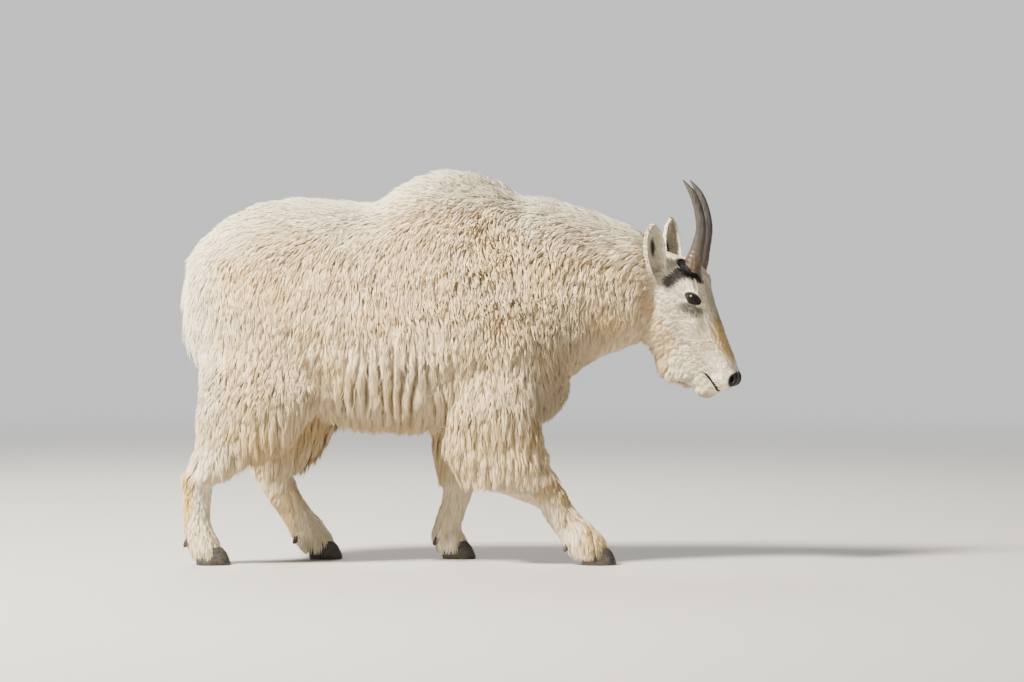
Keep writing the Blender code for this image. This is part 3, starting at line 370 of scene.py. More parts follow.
NECK = (
    (0.040, 0.930, 0.420, 0.150, 0.660, 0.050),
    (0.130, 0.932, 0.400, 0.148, 0.660, 0.050),
    (0.200, 0.930, 0.415, 0.142, 0.670, 0.050),
    (0.260, 0.914, 0.455, 0.132, 0.680, 0.048),
    (0.320, 0.895, 0.500, 0.118, 0.690, 0.044),
    (0.380, 0.873, 0.524, 0.105, 0.695, 0.038),
    (0.430, 0.853, 0.540, 0.096, 0.698, 0.030),
    (0.465, 0.826, 0.560, 0.082, 0.700, 0.022),
    (0.500, 0.795, 0.600, 0.062, 0.700, 0.016),
)
BODY_SIDES = 32


def body_rings(rows, crest):
    rings = []
    for x, top, bottom, half, widest, coat in rows:
        inset = SKIN_SHARE * coat
        ring = []
        for k in range(BODY_SIDES):
            turn = math.tau * k / BODY_SIDES
            reach = top - inset - widest if math.sin(turn) > 0 else widest - bottom - inset
            narrow = crest if math.sin(turn) > 0 else 0.82
            y = (half - inset) * power_curve(math.cos(turn), narrow)
            ring.append(BODY @ Vector((x, y, widest + reach * math.sin(turn))))
        rings.append(ring)
    return rings


body_parts = [loft("trunk", body_rings(TRUNK, 1.10)), loft("neck", body_rings(NECK, 1.05))]
print("body lofts:", len(body_parts))

# %% [markdown]
# Each leg starts wide inside the trunk, narrows under its long wool to the hock or knee, and runs
# down the cannon and fetlock into the hooves. The upper rings lie level and the lower ones square
# to the leg. Small ellipsoids add the point of the hock, the knee and the fetlock.

# %% Legs
LEG_WOOL = {
    "hind_right": (
        (-0.520, -0.070, 0.620, 0.120, 0.060, 0.00),
        (-0.510, -0.092, 0.500, 0.146, 0.054, 0.00),
        (-0.506, -0.102, 0.418, 0.158, 0.055, 0.03),
        (-0.528, -0.104, 0.345, 0.134, 0.050, 0.04),
        (-0.606, -0.103, 0.262, 0.076, 0.040, 0.02),
    ),
    "hind_left": (
        (-0.450, 0.070, 0.620, 0.120, 0.060, 0.00),
        (-0.440, 0.092, 0.500, 0.122, 0.054, 0.00),
        (-0.428, 0.102, 0.418, 0.126, 0.055, 0.02),
        (-0.438, 0.104, 0.345, 0.108, 0.050, 0.02),
        (-0.476, 0.104, 0.256, 0.058, 0.038, 0.00),
    ),
    "front_right": (
        (0.070, -0.070, 0.600, 0.090, 0.060, 0.00),
        (0.072, -0.092, 0.480, 0.104, 0.053, 0.00),
        (0.072, -0.102, 0.396, 0.114, 0.055, 0.00),
        (0.072, -0.104, 0.316, 0.118, 0.052, 0.00),
        (0.094, -0.104, 0.252, 0.108, 0.048, 0.00),
        (0.144, -0.104, 0.204, 0.088, 0.041, 0.00),
    ),
    "front_left": (
        (0.012, 0.070, 0.600, 0.088, 0.060, 0.00),
        (0.004, 0.092, 0.480, 0.096, 0.053, 0.00),
        (-0.006, 0.102, 0.396, 0.084, 0.054, 0.00),
        (-0.013, 0.104, 0.312, 0.060, 0.046, 0.00),
        (-0.015, 0.104, 0.222, 0.043, 0.037, 0.00),
    ),
}
SHANKS = {
    "hind_right": (
        (-0.662, -0.103, 0.222, 0.040, 0.034),
        (-0.670, -0.101, 0.175, 0.037, 0.031),
        (-0.671, -0.100, 0.125, 0.034, 0.028),
        (-0.667, -0.100, 0.085, 0.037, 0.033),
        (-0.652, -0.100, 0.050, 0.038, 0.036),
        (-0.640, -0.100, 0.026, 0.036, 0.034),
    ),
    "hind_left": (
        (-0.484, 0.104, 0.212, 0.045, 0.035),
        (-0.462, 0.102, 0.165, 0.040, 0.032),
        (-0.432, 0.100, 0.118, 0.037, 0.029),
        (-0.403, 0.100, 0.078, 0.041, 0.034),
        (-0.382, 0.100, 0.050, 0.041, 0.037),
        (-0.370, 0.100, 0.026, 0.038, 0.035),
    ),
    "front_right": (
        (0.216, -0.102, 0.172, 0.040, 0.036),
        (0.236, -0.100, 0.138, 0.037, 0.031),
        (0.262, -0.100, 0.104, 0.037, 0.030),
        (0.286, -0.100, 0.074, 0.042, 0.035),
        (0.310, -0.100, 0.048, 0.043, 0.037),
        (0.326, -0.100, 0.026, 0.039, 0.035),
    ),
    "front_left": (
        (-0.018, 0.102, 0.172, 0.038, 0.035),
        (-0.028, 0.100, 0.138, 0.034, 0.030),
        (-0.039, 0.100, 0.104, 0.033, 0.029),
        (-0.046, 0.100, 0.074, 0.037, 0.034),
        (-0.036, 0.100, 0.048, 0.038, 0.036),
        (-0.026, 0.100, 0.026, 0.036, 0.034),
    ),
}
LEG_SIDES = 20
SHANK_COAT = 0.005


def level_ring(x, y, z, half_depth, half_width, slope):
    ring = []
    for k in range(LEG_SIDES):
        turn = math.tau * k / LEG_SIDES
        c, s = math.cos(turn), math.sin(turn)
        ring.append(BODY @ Vector((x + c * half_depth, y + s * half_width, z + c * slope)))
    return ring


def square_rings(points, sizes, sides):
    """Rings square to a path. Sizes are half depth in the XZ plane and half width across it."""
    rings = []
    for i, point in enumerate(points):
        along = (points[min(i + 1, len(points) - 1)] - points[max(i - 1, 0)]).normalized()
        depth = along.cross(Vector((0.0, 1.0, 0.0))).normalized()
        side = depth.cross(along)
        half_depth, half_width = sizes[i]
        ring = []
        for k in range(sides):
            turn = math.tau * k / sides
            across = depth * (half_depth * math.cos(turn)) + side * (half_width * math.sin(turn))
            ring.append(BODY @ (point + across))
        rings.append(ring)
    return rings


def ball(name, place, size, matrix, turned=0.0):
    """A small ellipsoid, for a swelling under the skin."""
    deselect_all()
    bpy.ops.mesh.primitive_ico_sphere_add(subdivisions=3, radius=1.0)
    made = bpy.context.object
    made.name = name
    turn = Matrix.Rotation(turned, 4, "Z")
    made.data.transform(matrix @ Matrix.Translation(place) @ turn @ Matrix.Diagonal((*size, 1.0)))
    return made


for foot, rows in SHANKS.items():
    rings = [level_ring(*row) for row in LEG_WOOL[foot]]
    points = [Vector(row[:3]) for row in rows]
    sizes = [(row[3] - SHANK_COAT, row[4] - SHANK_COAT) for row in rows]
    body_parts.append(loft("leg_" + foot, rings + square_rings(points, sizes, LEG_SIDES)))
print("with legs:", len(body_parts))

# %% [markdown]
# The tail is short and flat and hangs against the rump, and the beard is a rounded mass under the
# jaw. Both are lofts too. All these forms are then fused by a voxel remesh, which makes one even net
# of faces. Smoothing melts their joins, most of all where the legs leave the trunk.

# %% Tail, beard, and the body fused
TAIL = (
    (-0.650, 0.775, 0.030, 0.018),
    (-0.681, 0.700, 0.031, 0.016),
    (-0.692, 0.635, 0.027, 0.012),
    (-0.693, 0.580, 0.015, 0.008),
)
BEARD = (
    (0.524, -0.013, 0.540, 0.050, 0.040, -0.020),
    (0.530, -0.015, 0.500, 0.045, 0.036, -0.014),
    (0.540, -0.018, 0.464, 0.030, 0.024, -0.006),
)
BODY_VOXEL = 0.0082
BODY_SMOOTHING = 5
JOIN_SMOOTHING = 55

tail_points = [Vector((x, 0.0, z)) for x, z, *_ in TAIL]
tail_sizes = [(thick, wide) for *_, wide, thick in TAIL]
body_parts.append(loft("tail", square_rings(tail_points, tail_sizes, 12)))
body_parts.append(loft("beard", [level_ring(*row) for row in BEARD]))
body_skin = fused("body_skin", body_parts, BODY_VOXEL, BODY_SMOOTHING)
joins = body_skin.vertex_groups.new(name="joins")
for vertex in body_skin.data.vertices:
    place = vertex.co - SHIFT
    on_tail = place.x < -0.672 and abs(place.y) < 0.036
    joins.add([vertex.index], 0.05 if on_tail else min(1.0, max(0.0, (place.z - 0.30) / 0.10)), "REPLACE")
apply_modifier(body_skin, "SMOOTH", factor=0.5, iterations=JOIN_SMOOTHING, vertex_group="joins")
body_skin.vertex_groups.clear()
print("body skin:", len(body_skin.data.polygons), "faces")

# %% [markdown]
# The head gets the most care. The skull with the upper muzzle, and the lower jaw, are two lofts in
# the head's own axes. Ellipsoids on both sides swell the brow, cheekbone, cheek, lips, nostril
# wings and chin. A fine voxel remesh melts them together, and many rounds of smoothing round them.

# %% Head forms
SKULL = (
    (-0.030, -0.010, -0.115, 0.048),
    (0.000, 0.024, -0.144, 0.060),
    (0.020, 0.045, -0.148, 0.064),
    (0.045, 0.061, -0.148, 0.066),
    (0.080, 0.067, -0.144, 0.067),
    (0.111, 0.062, -0.136, 0.065),
    (0.150, 0.056, -0.118, 0.057),
    (0.205, 0.0520, -0.100, 0.048),
    (0.250, 0.0485, -0.074, 0.042),
    (0.286, 0.0485, -0.044, 0.0390),
    (0.312, 0.0460, -0.025, 0.0370),
    (0.335, 0.0430, -0.018, 0.0340),
    (0.350, 0.0360, -0.012, 0.0285),
    (0.360, 0.0240, -0.004, 0.0190),
)
JAW = (
    (0.080, -0.036, -0.146, 0.052),
    (0.130, -0.030, -0.142, 0.052),
    (0.180, -0.018, -0.132, 0.049),
    (0.230, -0.008, -0.114, 0.044),
    (0.280, -0.004, -0.092, 0.037),
    (0.315, -0.006, -0.076, 0.0320),
    (0.340, -0.008, -0.067, 0.0285),
    (0.357, -0.014, -0.056, 0.0190),
)
SWELLINGS = {
    "brow": ((0.098, 0.026, 0.044), (0.044, 0.022, 0.020)),
    "cheekbone": ((0.145, 0.000, 0.042), (0.060, 0.026, 0.0170)),
    "cheek": ((0.115, -0.070, 0.030), (0.085, 0.070, 0.034)),
    "cheek_pad": ((0.225, -0.048, 0.018), (0.090, 0.048, 0.0255)),
    "horn_base": ((0.046, 0.030, 0.028), (0.042, 0.030, 0.031)),
    "upper_lip": ((0.330, -0.002, 0.016), (0.033, 0.025, 0.0215)),
    "nostril_wing": ((0.334, 0.022, 0.0170), (0.029, 0.023, 0.0175)),
    "chin": ((0.332, -0.048, 0.006), (0.030, 0.028, 0.024)),
}
HEAD_VOXEL = 0.0023
HEAD_SMOOTHING = 42


def head_ring(along, front, back, half, sides=28, square=0.85):
    middle = back + (front - back) * 0.56
    ring = []
    for k in range(sides):
        s, c = math.sin(math.tau * k / sides), math.cos(math.tau * k / sides)
        out = middle + (front - middle if s > 0 else middle - back) * power_curve(s, square)
        ring.append(Vector((along, out, half * power_curve(c, square))))
    return ring


head_parts = [loft("skull", [head_ring(*row) for row in SKULL])]
head_parts.append(loft("jaw", [head_ring(*row) for row in JAW]))
for name, (place, size) in SWELLINGS.items():
    for side in (1, -1):
        centre = (place[0], place[1], place[2] * side)
        head_parts.append(ball(name, centre, size, Matrix.Identity(4)))
head_skin = fused("head_skin", head_parts, HEAD_VOXEL, HEAD_SMOOTHING)
print("head skin:", len(head_skin.data.polygons), "faces")

# %% [markdown]
# Lids, mouth line and nostrils are sculpted: each vertex near them is moved by a smooth rule. The
# lids are laid on a sphere a little larger than the eyeball, with an almond opening where the skin
# dives behind it. The mouth is a groove along its line, and each nostril a deep comma-shaped dent.
# At the end the muzzle is shortened a little as a whole, which the places on it allow for later.

# %% Sculpt the face
EYE_RADIUS = 0.0165
EYE_OPENING = (0.0172, 0.0108)
EYE_SLANT = math.radians(31.0)
LID_STANDS = 0.0016
LID_ENDS = 2.1
MOUTH_LINE = ((0.288, -0.036), (0.304, -0.028), (0.322, -0.0225), (0.340, -0.0195), (0.366, -0.0175))
MOUTH_DEPTH = 0.0060
MOUTH_WIDTH = 0.0021
NOSTRIL = (0.345, 0.0285)
NOSTRIL_SIZE = (0.0105, 0.0048)
NOSTRIL_SLANT = math.radians(-38.0)
NOSTRIL_DEPTH = 0.012
MUZZLE_FROM = 0.22
MUZZLE_SHARE = 0.92
FACE_COAT = ((0.0, 0.0050), (0.16, 0.0030), (0.30, 0.0016), (0.37, 0.0006))


def smoothstep(low, high, values):
    t = np.clip((values - low) / (high - low), 0.0, 1.0)
    return t * t * (3.0 - 2.0 * t)


def points_of(mesh):
    found = np.empty(len(mesh.vertices) * 3, np.float32)
    mesh.vertices.foreach_get("co", found)
    return found.reshape(-1, 3).astype(float)


def normals_of(mesh):
    found = np.empty(len(mesh.vertices) * 3, np.float32)
    mesh.vertex_normals.foreach_get("vector", found)
    return found.reshape(-1, 3).astype(float)


def lay_points(mesh, points):
    mesh.vertices.foreach_set("co", points.astype(np.float32).ravel())
    mesh.update()


def distance_to_line(points, line):
    """Distance of 2D points to a polyline, and how far along it the nearest place is."""
    best = np.full(len(points), 1e9)
    share = np.zeros(len(points))
    for i, (a, b) in enumerate(zip(line, line[1:])):
        start, run = np.array(a), np.array(b) - np.array(a)
        t = np.clip((points - start) @ run / (run @ run), 0.0, 1.0)
        found = np.linalg.norm(points - start - t[:, None] * run, axis=1)
        nearer = found < best
        best = np.where(nearer, found, best)
        share = np.where(nearer, (i + t) / (len(line) - 1), share)
    return best, share


def eye_centre(side):
    """The eyeball's middle in the head's axes, from the solid eye's box."""
    low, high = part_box("eye_left" if side > 0 else "eye_right")
    return HEAD.inverted() @ ((low + high) / 2)


def eye_coordinates(points, side):
    """How far round the opening each point lies: 1 on its edge. Then the same along and across it."""
    offset = points - np.array(eye_centre(side))
    long_way = offset[:, 0] * math.cos(EYE_SLANT) + offset[:, 1] * math.sin(EYE_SLANT)
    short_way = -offset[:, 0] * math.sin(EYE_SLANT) + offset[:, 1] * math.cos(EYE_SLANT)
    a = long_way / EYE_OPENING[0]
    b = short_way / EYE_OPENING[1] * (1.0 + 0.12 * a**2)
    ring = np.sqrt(a**2 + b**2)
    return np.where(points[:, 2] * side > 0, ring, 9.0), a, b, long_way, short_way


points = points_of(head_skin.data)
normals = normals_of(head_skin.data)
coat_depth = np.interp(points[:, 0], *np.array(FACE_COAT).T)
points -= normals * coat_depth[:, None]
for side in (1, -1):
    ring, a, b, long_way, short_way = eye_coordinates(points, side)
    centre = np.array(eye_centre(side))
    reach = EYE_RADIUS + LID_STANDS * (1.0 + 0.5 * np.clip(b, -1.0, 1.0))
    height = np.sqrt(np.maximum(reach**2 - long_way**2 - short_way**2, 0.0))
    lid = centre[2] + side * np.maximum(height, 0.0)
    lid_share = 1.0 - smoothstep(1.15, LID_ENDS, ring)
    outer = np.where(side * (lid - points[:, 2]) > 0, lid, points[:, 2])
    points[:, 2] += (outer - points[:, 2]) * lid_share
    crease = np.exp(-(((ring - 1.62) / 0.14) ** 2)) * smoothstep(-0.2, 0.5, b) * 0.0016
    points[:, 2] -= side * crease
    inside = 1.0 - smoothstep(0.84, 1.0, ring)
    points[:, 2] += (centre[2] + side * EYE_RADIUS * 0.35 - points[:, 2]) * inside
plane = points[:, :2]
gap, share = distance_to_line(plane, MOUTH_LINE)
normals = normals_of(head_skin.data)
groove = MOUTH_DEPTH * np.exp(-((gap / MOUTH_WIDTH) ** 2)) * smoothstep(-0.05, 0.12, share)
lip = 0.0011 * np.exp(-(((gap - 0.0052) / 0.0030) ** 2)) * smoothstep(0.0, 0.3, share)
points += normals * (lip - groove)[:, None]
offset = plane - np.array(NOSTRIL)
long_way = offset[:, 0] * math.cos(NOSTRIL_SLANT) + offset[:, 1] * math.sin(NOSTRIL_SLANT)
short_way = -offset[:, 0] * math.sin(NOSTRIL_SLANT) + offset[:, 1] * math.cos(NOSTRIL_SLANT)
curved = short_way + 22.0 * long_way**2
ring = np.sqrt((long_way / NOSTRIL_SIZE[0]) ** 2 + (curved / NOSTRIL_SIZE[1]) ** 2)
on_side = smoothstep(0.006, 0.011, np.abs(points[:, 2]))
hole = NOSTRIL_DEPTH * (1.0 - smoothstep(0.35, 1.15, ring)) * on_side
wing = 0.0006 * np.exp(-(((ring - 1.5) / 0.4) ** 2)) * on_side
points += normals * (wing - hole)[:, None]
beyond = np.maximum(points[:, 0] - MUZZLE_FROM, 0.0)
points[:, 0] -= beyond * (1.0 - MUZZLE_SHARE)
lay_points(head_skin.data, points)
apply_modifier(head_skin, "SMOOTH", factor=0.5, iterations=1)
print("eye centres:", [round(v, 4) for v in eye_centre(1)], [round(v, 4) for v in eye_centre(-1)])

# %% [markdown]
# An ear is a leaf rolled into a cup. Each ring is its outer wall and then its inner wall, so that
# the loft is a closed shell with a rim, and the roll opens towards the tip. Subdivision rounds it.
# The right ear listens towards the camera and lies lower, and the left one is turned forward.

# %% Ears
EAR = (
    (0.036, -0.036, 0.054, 0.015),
    (0.004, -0.024, 0.072, 0.024),
    (-0.030, -0.010, 0.086, 0.0275),
    (-0.062, 0.003, 0.095, 0.0255),
    (-0.086, 0.013, 0.100, 0.0180),
    (-0.104, 0.021, 0.103, 0.0055),
)
EAR_WALL = 0.0030
EAR_REACH = {1: 1.09, -1: 0.91}
EAR_STEPS = 8
EAR_FACING = {1: (0.10, 0.82, -0.56), -1: (0.0, 0.62, -0.78)}


def smooth_rows(rows, count):
    """Rows of numbers on a smooth curve through the given ones."""
    table = np.array(rows, float)
    wanted = np.linspace(0.0, len(table) - 1.0, count)
    slopes = np.gradient(table, axis=0)
    i = np.minimum(wanted.astype(int), len(table) - 2)
    t = (wanted - i)[:, None]
    here, there, leaving, coming = table[i], table[i + 1], slopes[i], slopes[i + 1]
    rise = (2 * t**3 - 3 * t**2 + 1) * here + (t**3 - 2 * t**2 + t) * leaving
    return rise + (3 * t**2 - 2 * t**3) * there + (t**3 - t**2) * coming


def make_ear(name, side):
    rows = smooth_rows(EAR, 14)
    facing = Vector(EAR_FACING[side]).normalized()
    reach = EAR_REACH[side]
    points = [Vector((row[0] * (reach if row[0] < 0 else 1.0), row[1], row[2] * side)) for row in rows]
    rings = []
    for i, point in enumerate(points):
        lie = (points[min(i + 1, len(points) - 1)] - points[max(i - 1, 0)]).normalized()
        face = (facing - lie * facing.dot(lie)).normalized()
        wide = lie.cross(face)
        half = rows[i][3]
        curl = math.radians(118 - 40 * i / (len(points) - 1))
        wall = min(EAR_WALL, half * 0.6)
        outer, inner = [], []
        for k in range(EAR_STEPS + 1):
            turn = -curl + 2 * curl * k / EAR_STEPS
            way = wide * math.sin(turn) - face * math.cos(turn)
            outer.append(HEAD @ (point + way * (half - 0.001)))
            inner.append(HEAD @ (point + way * (half - 0.001 - wall) + face * wall * 0.15))
        rings.append(outer + inner[::-1])
    made = loft(name, rings)
    apply_modifier(made, "SUBSURF", levels=1, render_levels=1)
    return made


ears = [make_ear("ear_skin_left", 1), make_ear("ear_skin_right", -1)]
print("ear faces:", len(ears[0].data.polygons))

# %% [markdown]
# Head, ears and body become one skin with Boolean unions, so that it is a single closed surface.
# The head's axes are left-handed, so what is turned by them is inside out until it is flipped.

# %% One skin
def unite(obj, *others):
    for other in others:
        apply_modifier(obj, "BOOLEAN", operation="UNION", solver="MANIFOLD", object=other)
        bpy.data.objects.remove(other)


head_skin.data.transform(HEAD)
head_skin.data.flip_normals()
skin = body_skin
skin.name = "skin"
unite(skin, head_skin, *ears)
apply_modifier(skin, "TRIANGULATE")
only(skin)
bpy.ops.object.shade_smooth()
print("skin:", len(skin.data.polygons), "triangles")

# %% [markdown]
# The markings are worked out once for any place on the goat, as smooth masks in its own measures:
# tan on the flanks and neck, yellow on fringe, beard and shins, grey on the ears and round the eyes,
# and black on the nose, lips, lids and the gland behind each horn. The same masks also hold painted
# shade: grey on the lower trunk, the breast and the front of the forehead, yellow and grey on the
# chin that are partly dirt and partly painted shade, a grey and black band from ear to horn that is
# partly dark fur and partly a painted shadow of horn and ear, and black deep in each ear. Skin and
# coat both carry them.

# %% Places on the head
def within(points, place, size):
    """1 in the middle of an ellipsoid, and 0 from its surface on."""
    reach = np.sqrt((((points - np.array(place)) / np.array(size)) ** 2).sum(1))
    return 1.0 - smoothstep(0.55, 1.0, reach)


def head_points(world):
    """World points in the head's axes, with the shortened muzzle drawn out again."""
    inverse = np.array(HEAD.inverted())
    head = world @ inverse[:3, :3].T + inverse[:3, 3]
    head[:, 0] += np.maximum(head[:, 0] - MUZZLE_FROM, 0.0) * (1.0 / MUZZLE_SHARE - 1.0)
    return head


def ear_places(world, normals, side):
    """For each place: how far up the ear, how far across it, how far from its middle line, inside or not."""
    head = head_points(world)
    turned = normals @ np.array(HEAD)[:3, :3]
    base = np.array((EAR[1][0], EAR[1][1], EAR[1][2] * side))
    tip = np.array((EAR[-1][0], EAR[-1][1], EAR[-1][2] * side))
    lie = (tip - base) / np.linalg.norm(tip - base)
    facing = np.array(EAR_FACING[side])
    facing = facing - lie * (facing @ lie)
    facing /= np.linalg.norm(facing)
    offset = head - base
    up = offset @ lie / np.linalg.norm(tip - base)
    across = offset @ np.cross(lie, facing)
    away = np.linalg.norm(offset - np.outer(offset @ lie, lie), axis=1)
    return up, across, away, turned @ facing > 0.1


EAR_HOLE = (0.40, 0.34)


def ear_grey_and_hollow_shade(world, normals):
    """Grey on the inner wall of each ear, and black in its deep middle as painted shade of the hollow."""
    grey, black = np.zeros(len(world)), np.zeros(len(world))
    for side in (1, -1):
        up, across, away, inside = ear_places(world, normals, side)
        near = inside & (away < 0.030) & (up > -0.15)
        grey = np.maximum(grey, near * (1.0 - smoothstep(0.0120, 0.0205, np.abs(across))) * 0.34)
        # Painted shade: black in the deep middle of the ear.
        deep = 1.0 - smoothstep(0.35, 1.0, np.hypot(across / 0.0115, (up - EAR_HOLE[0]) / EAR_HOLE[1]))
        black = np.maximum(black, near * deep)
    return grey, black


print("ear tips on the head:", [round(float(v), 3) for v in EAR[-1][:3]])

# %% Markings
GLAND = ((0.028, 0.038), (0.052, 0.053), (0.076, 0.066))
EAR_BAND = ((0.050, 0.040), (0.042, 0.014), (0.052, -0.010))
SMUDGE = ((0.128, 0.002), (0.150, 0.018))


def line_mask(points, line, full, none):
    """1 near a line drawn on the side of the head, and 0 farther off."""
    return 1.0 - smoothstep(full, none, distance_to_line(points[:, :2], line)[0])


def markings_and_painted_shade(world, normals):
    """Four masks for each world point: tan, yellow, grey and black. Grey and black also hold painted shade."""
    p = world - np.array(SHIFT)
    x, y, z = p.T
    head = head_points(world)
    mirrored = np.stack((head[:, 0], head[:, 1], np.abs(head[:, 2])), 1)
    on_head = smoothstep(0.44, 0.50, x)
    back = np.interp(x, [row[0] for row in TRUNK], [row[1] for row in TRUNK])
    back = np.where(x > 0.2, np.interp(x, [r[0] for r in NECK], [r[1] for r in NECK]), back)
    down = back - z
    tan = smoothstep(0.01, 0.15, down) * smoothstep(-0.70, -0.55, x)
    tan *= 1.0 - 0.85 * on_head
    tan *= 1.0 - 0.8 * within(p, (-0.02, 0.0, 1.0), (0.22, 0.3, 0.13))
    tan *= np.where(z < 0.30, 0.35 + 0.65 * smoothstep(0.16, 0.30, z), 1.0)
    tan += 0.85 * within(mirrored, (0.140, -0.120, 0.035), (0.140, 0.080, 0.090))
    yellow = 0.55 * (1.0 - smoothstep(0.34, 0.42, z)) * smoothstep(0.30, 0.36, z)
    yellow += 0.22 * within(p, (0.540, -0.015, 0.450), (0.065, 0.06, 0.075))
    yellow += 0.95 * within(p, (-0.705, -0.10, 0.20), (0.048, 0.08, 0.15))
    yellow += 0.55 * within(p, (0.215, -0.10, 0.205), (0.07, 0.07, 0.06))
    yellow += 0.70 * within(p, (0.325, -0.10, 0.085), (0.05, 0.07, 0.07))
    yellow += 0.45 * within(p, (0.265, -0.10, 0.150), (0.05, 0.07, 0.07))
    yellow += 0.60 * within(p, (-0.465, 0.10, 0.13), (0.06, 0.08, 0.09))
    yellow += 0.30 * within(p, (-0.66, -0.10, 0.06), (0.06, 0.08, 0.06))
    yellow += 0.85 * within(mirrored, (0.236, 0.050, 0.0), (0.082, 0.040, 0.064))
    # Partly dirt and partly painted shade: yellow on the chin.
    yellow += 0.35 * within(mirrored, (0.350, -0.055, 0.0), (0.040, 0.040, 0.040))
    sideways = smoothstep(0.016, 0.034, mirrored[:, 2])
    grey = 0.90 * line_mask(mirrored, SMUDGE, 0.008, 0.020) * sideways
    # Partly dark fur and partly a painted shadow of horn and ear: grey in the band from ear to horn.
    grey += 0.95 * line_mask(mirrored, EAR_BAND, 0.012, 0.024) * sideways
    # Painted shade: grey on the lower trunk and on the breast, which face away from the light.
    low = (1.0 - smoothstep(0.40, 0.58, z)) * smoothstep(0.22, 0.34, z) * (1.0 - on_head)
    grey += 0.20 * low + 0.26 * within(p, (0.23, 0.0, 0.50), (0.16, 0.24, 0.22))
    # Painted shade: grey on the front of the forehead, which lies in shade.
    grey += 0.42 * within(mirrored, (0.145, 0.060, 0.0), (0.085, 0.03, 0.040))
    # Partly dirt and partly painted shade: grey on the chin.
    grey += 0.45 * within(mirrored, (0.356, -0.060, 0.0), (0.030, 0.034, 0.034))
    black = line_mask(mirrored, GLAND, 0.015, 0.022) * sideways
    # Partly dark fur and partly a painted shadow of horn and ear: black in the same band.
    black += 0.80 * line_mask(mirrored, EAR_BAND, 0.008, 0.019) * sideways
    inner_grey, ear_hollow_shade = ear_grey_and_hollow_shade(world, normals)
    grey = np.maximum(grey, inner_grey)
    black = np.maximum(black, ear_hollow_shade)
    return np.clip(np.stack((tan, yellow, grey, black), 1), 0.0, 1.0)


def bare_black(world):
    """Bare black skin: nose, nostrils, the line of the lips and the edges of the lids."""
    head = head_points(world)
    plane = head[:, :2]
    mirrored = np.stack((head[:, 0], head[:, 1], np.abs(head[:, 2])), 1)
    nose = within(mirrored, (0.351, 0.031, 0.012), (0.034, 0.027, 0.036))
    gap, share = distance_to_line(plane, MOUTH_LINE)
    broad = 0.0012 + 0.0030 * share
    lips = (1.0 - smoothstep(broad, broad + 0.0026, gap)) * smoothstep(0.0, 0.15, share)
    lids = np.zeros(len(world))
    for eye_side in (1, -1):
        ring = eye_coordinates(head, eye_side)[0]
        lids = np.maximum(lids, 1.0 - smoothstep(1.30, 1.52, ring))
    return np.clip(np.maximum(np.maximum(nose * 1.7, lips), lids), 0.0, 1.0) * (head[:, 0] > 0.05)


def set_colour(mesh, name, values):
    """Stores four numbers for each vertex."""
    layer = mesh.attributes.new(name, "FLOAT_COLOR", "POINT")
    layer.data.foreach_set("color", values.astype(np.float32).ravel())


skin_points = points_of(skin.data)
skin_normals = normals_of(skin.data)
skin_marks_and_shade = markings_and_painted_shade(skin_points, skin_normals)
bare = bare_black(skin_points)
skin_marks_and_shade[:, 3] = np.maximum(skin_marks_and_shade[:, 3], bare)
set_colour(skin.data, "marks_and_shade", skin_marks_and_shade)
print("black skin on", int((bare > 0.5).sum()), "vertices")

# %% [markdown]
# One material recipe serves skin and wool. It mixes a cream ground with tan, yellow, grey and black
# by the masks, adds soft blotches from a noise on Object coordinates, and stays matt. The wool is
# darker at its roots, where little light reaches, and deep in its grooves: both are painted shade.
# Every tuft has its own small change of tone.

# %% Coat materials
CREAM = (0.90, 0.808, 0.610, 1.0)
TAN = (0.76, 0.545, 0.285, 1.0)
YELLOW = (0.66, 0.44, 0.17, 1.0)
GREY_AND_SHADE = (0.17, 0.155, 0.14, 1.0)
BLACK_AND_SHADE = (0.010, 0.009, 0.009, 1.0)


def colour_from_marks_and_shade(nodes):
    """The goat's colours from its masks, with the painted shade that they hold."""
    # The marks hold real markings and painted shade alike.
    marks_and_shade = nodes.attribute("marks_and_shade")
    split = nodes.add("ShaderNodeSeparateColor")
    nodes.link(marks_and_shade.outputs["Color"], split.inputs["Color"])
    blotch = nodes.ramp(nodes.noise(9.0), (0.30, 0.55), (0.72, 1.0))
    tan_share = nodes.maths("MULTIPLY", split.outputs["Red"], blotch)
    colour = nodes.mix(tan_share, CREAM, TAN)
    colour = nodes.mix(split.outputs["Green"], colour, YELLOW)
    colour = nodes.mix(split.outputs["Blue"], colour, GREY_AND_SHADE)
    return nodes.mix(marks_and_shade.outputs["Alpha"], colour, BLACK_AND_SHADE)


def make_skin_material():
    nodes = Nodes("goat skin")
    colour = colour_from_marks_and_shade(nodes)
    nodes.link(colour, nodes.shader.inputs["Base Color"])
    nodes.bump(nodes.noise(700.0, 2.0), 0.35, 0.002)
    nodes.shader.inputs["Roughness"].default_value = 0.50
    nodes.shader.inputs["Specular IOR Level"].default_value = 0.22
    return nodes.material


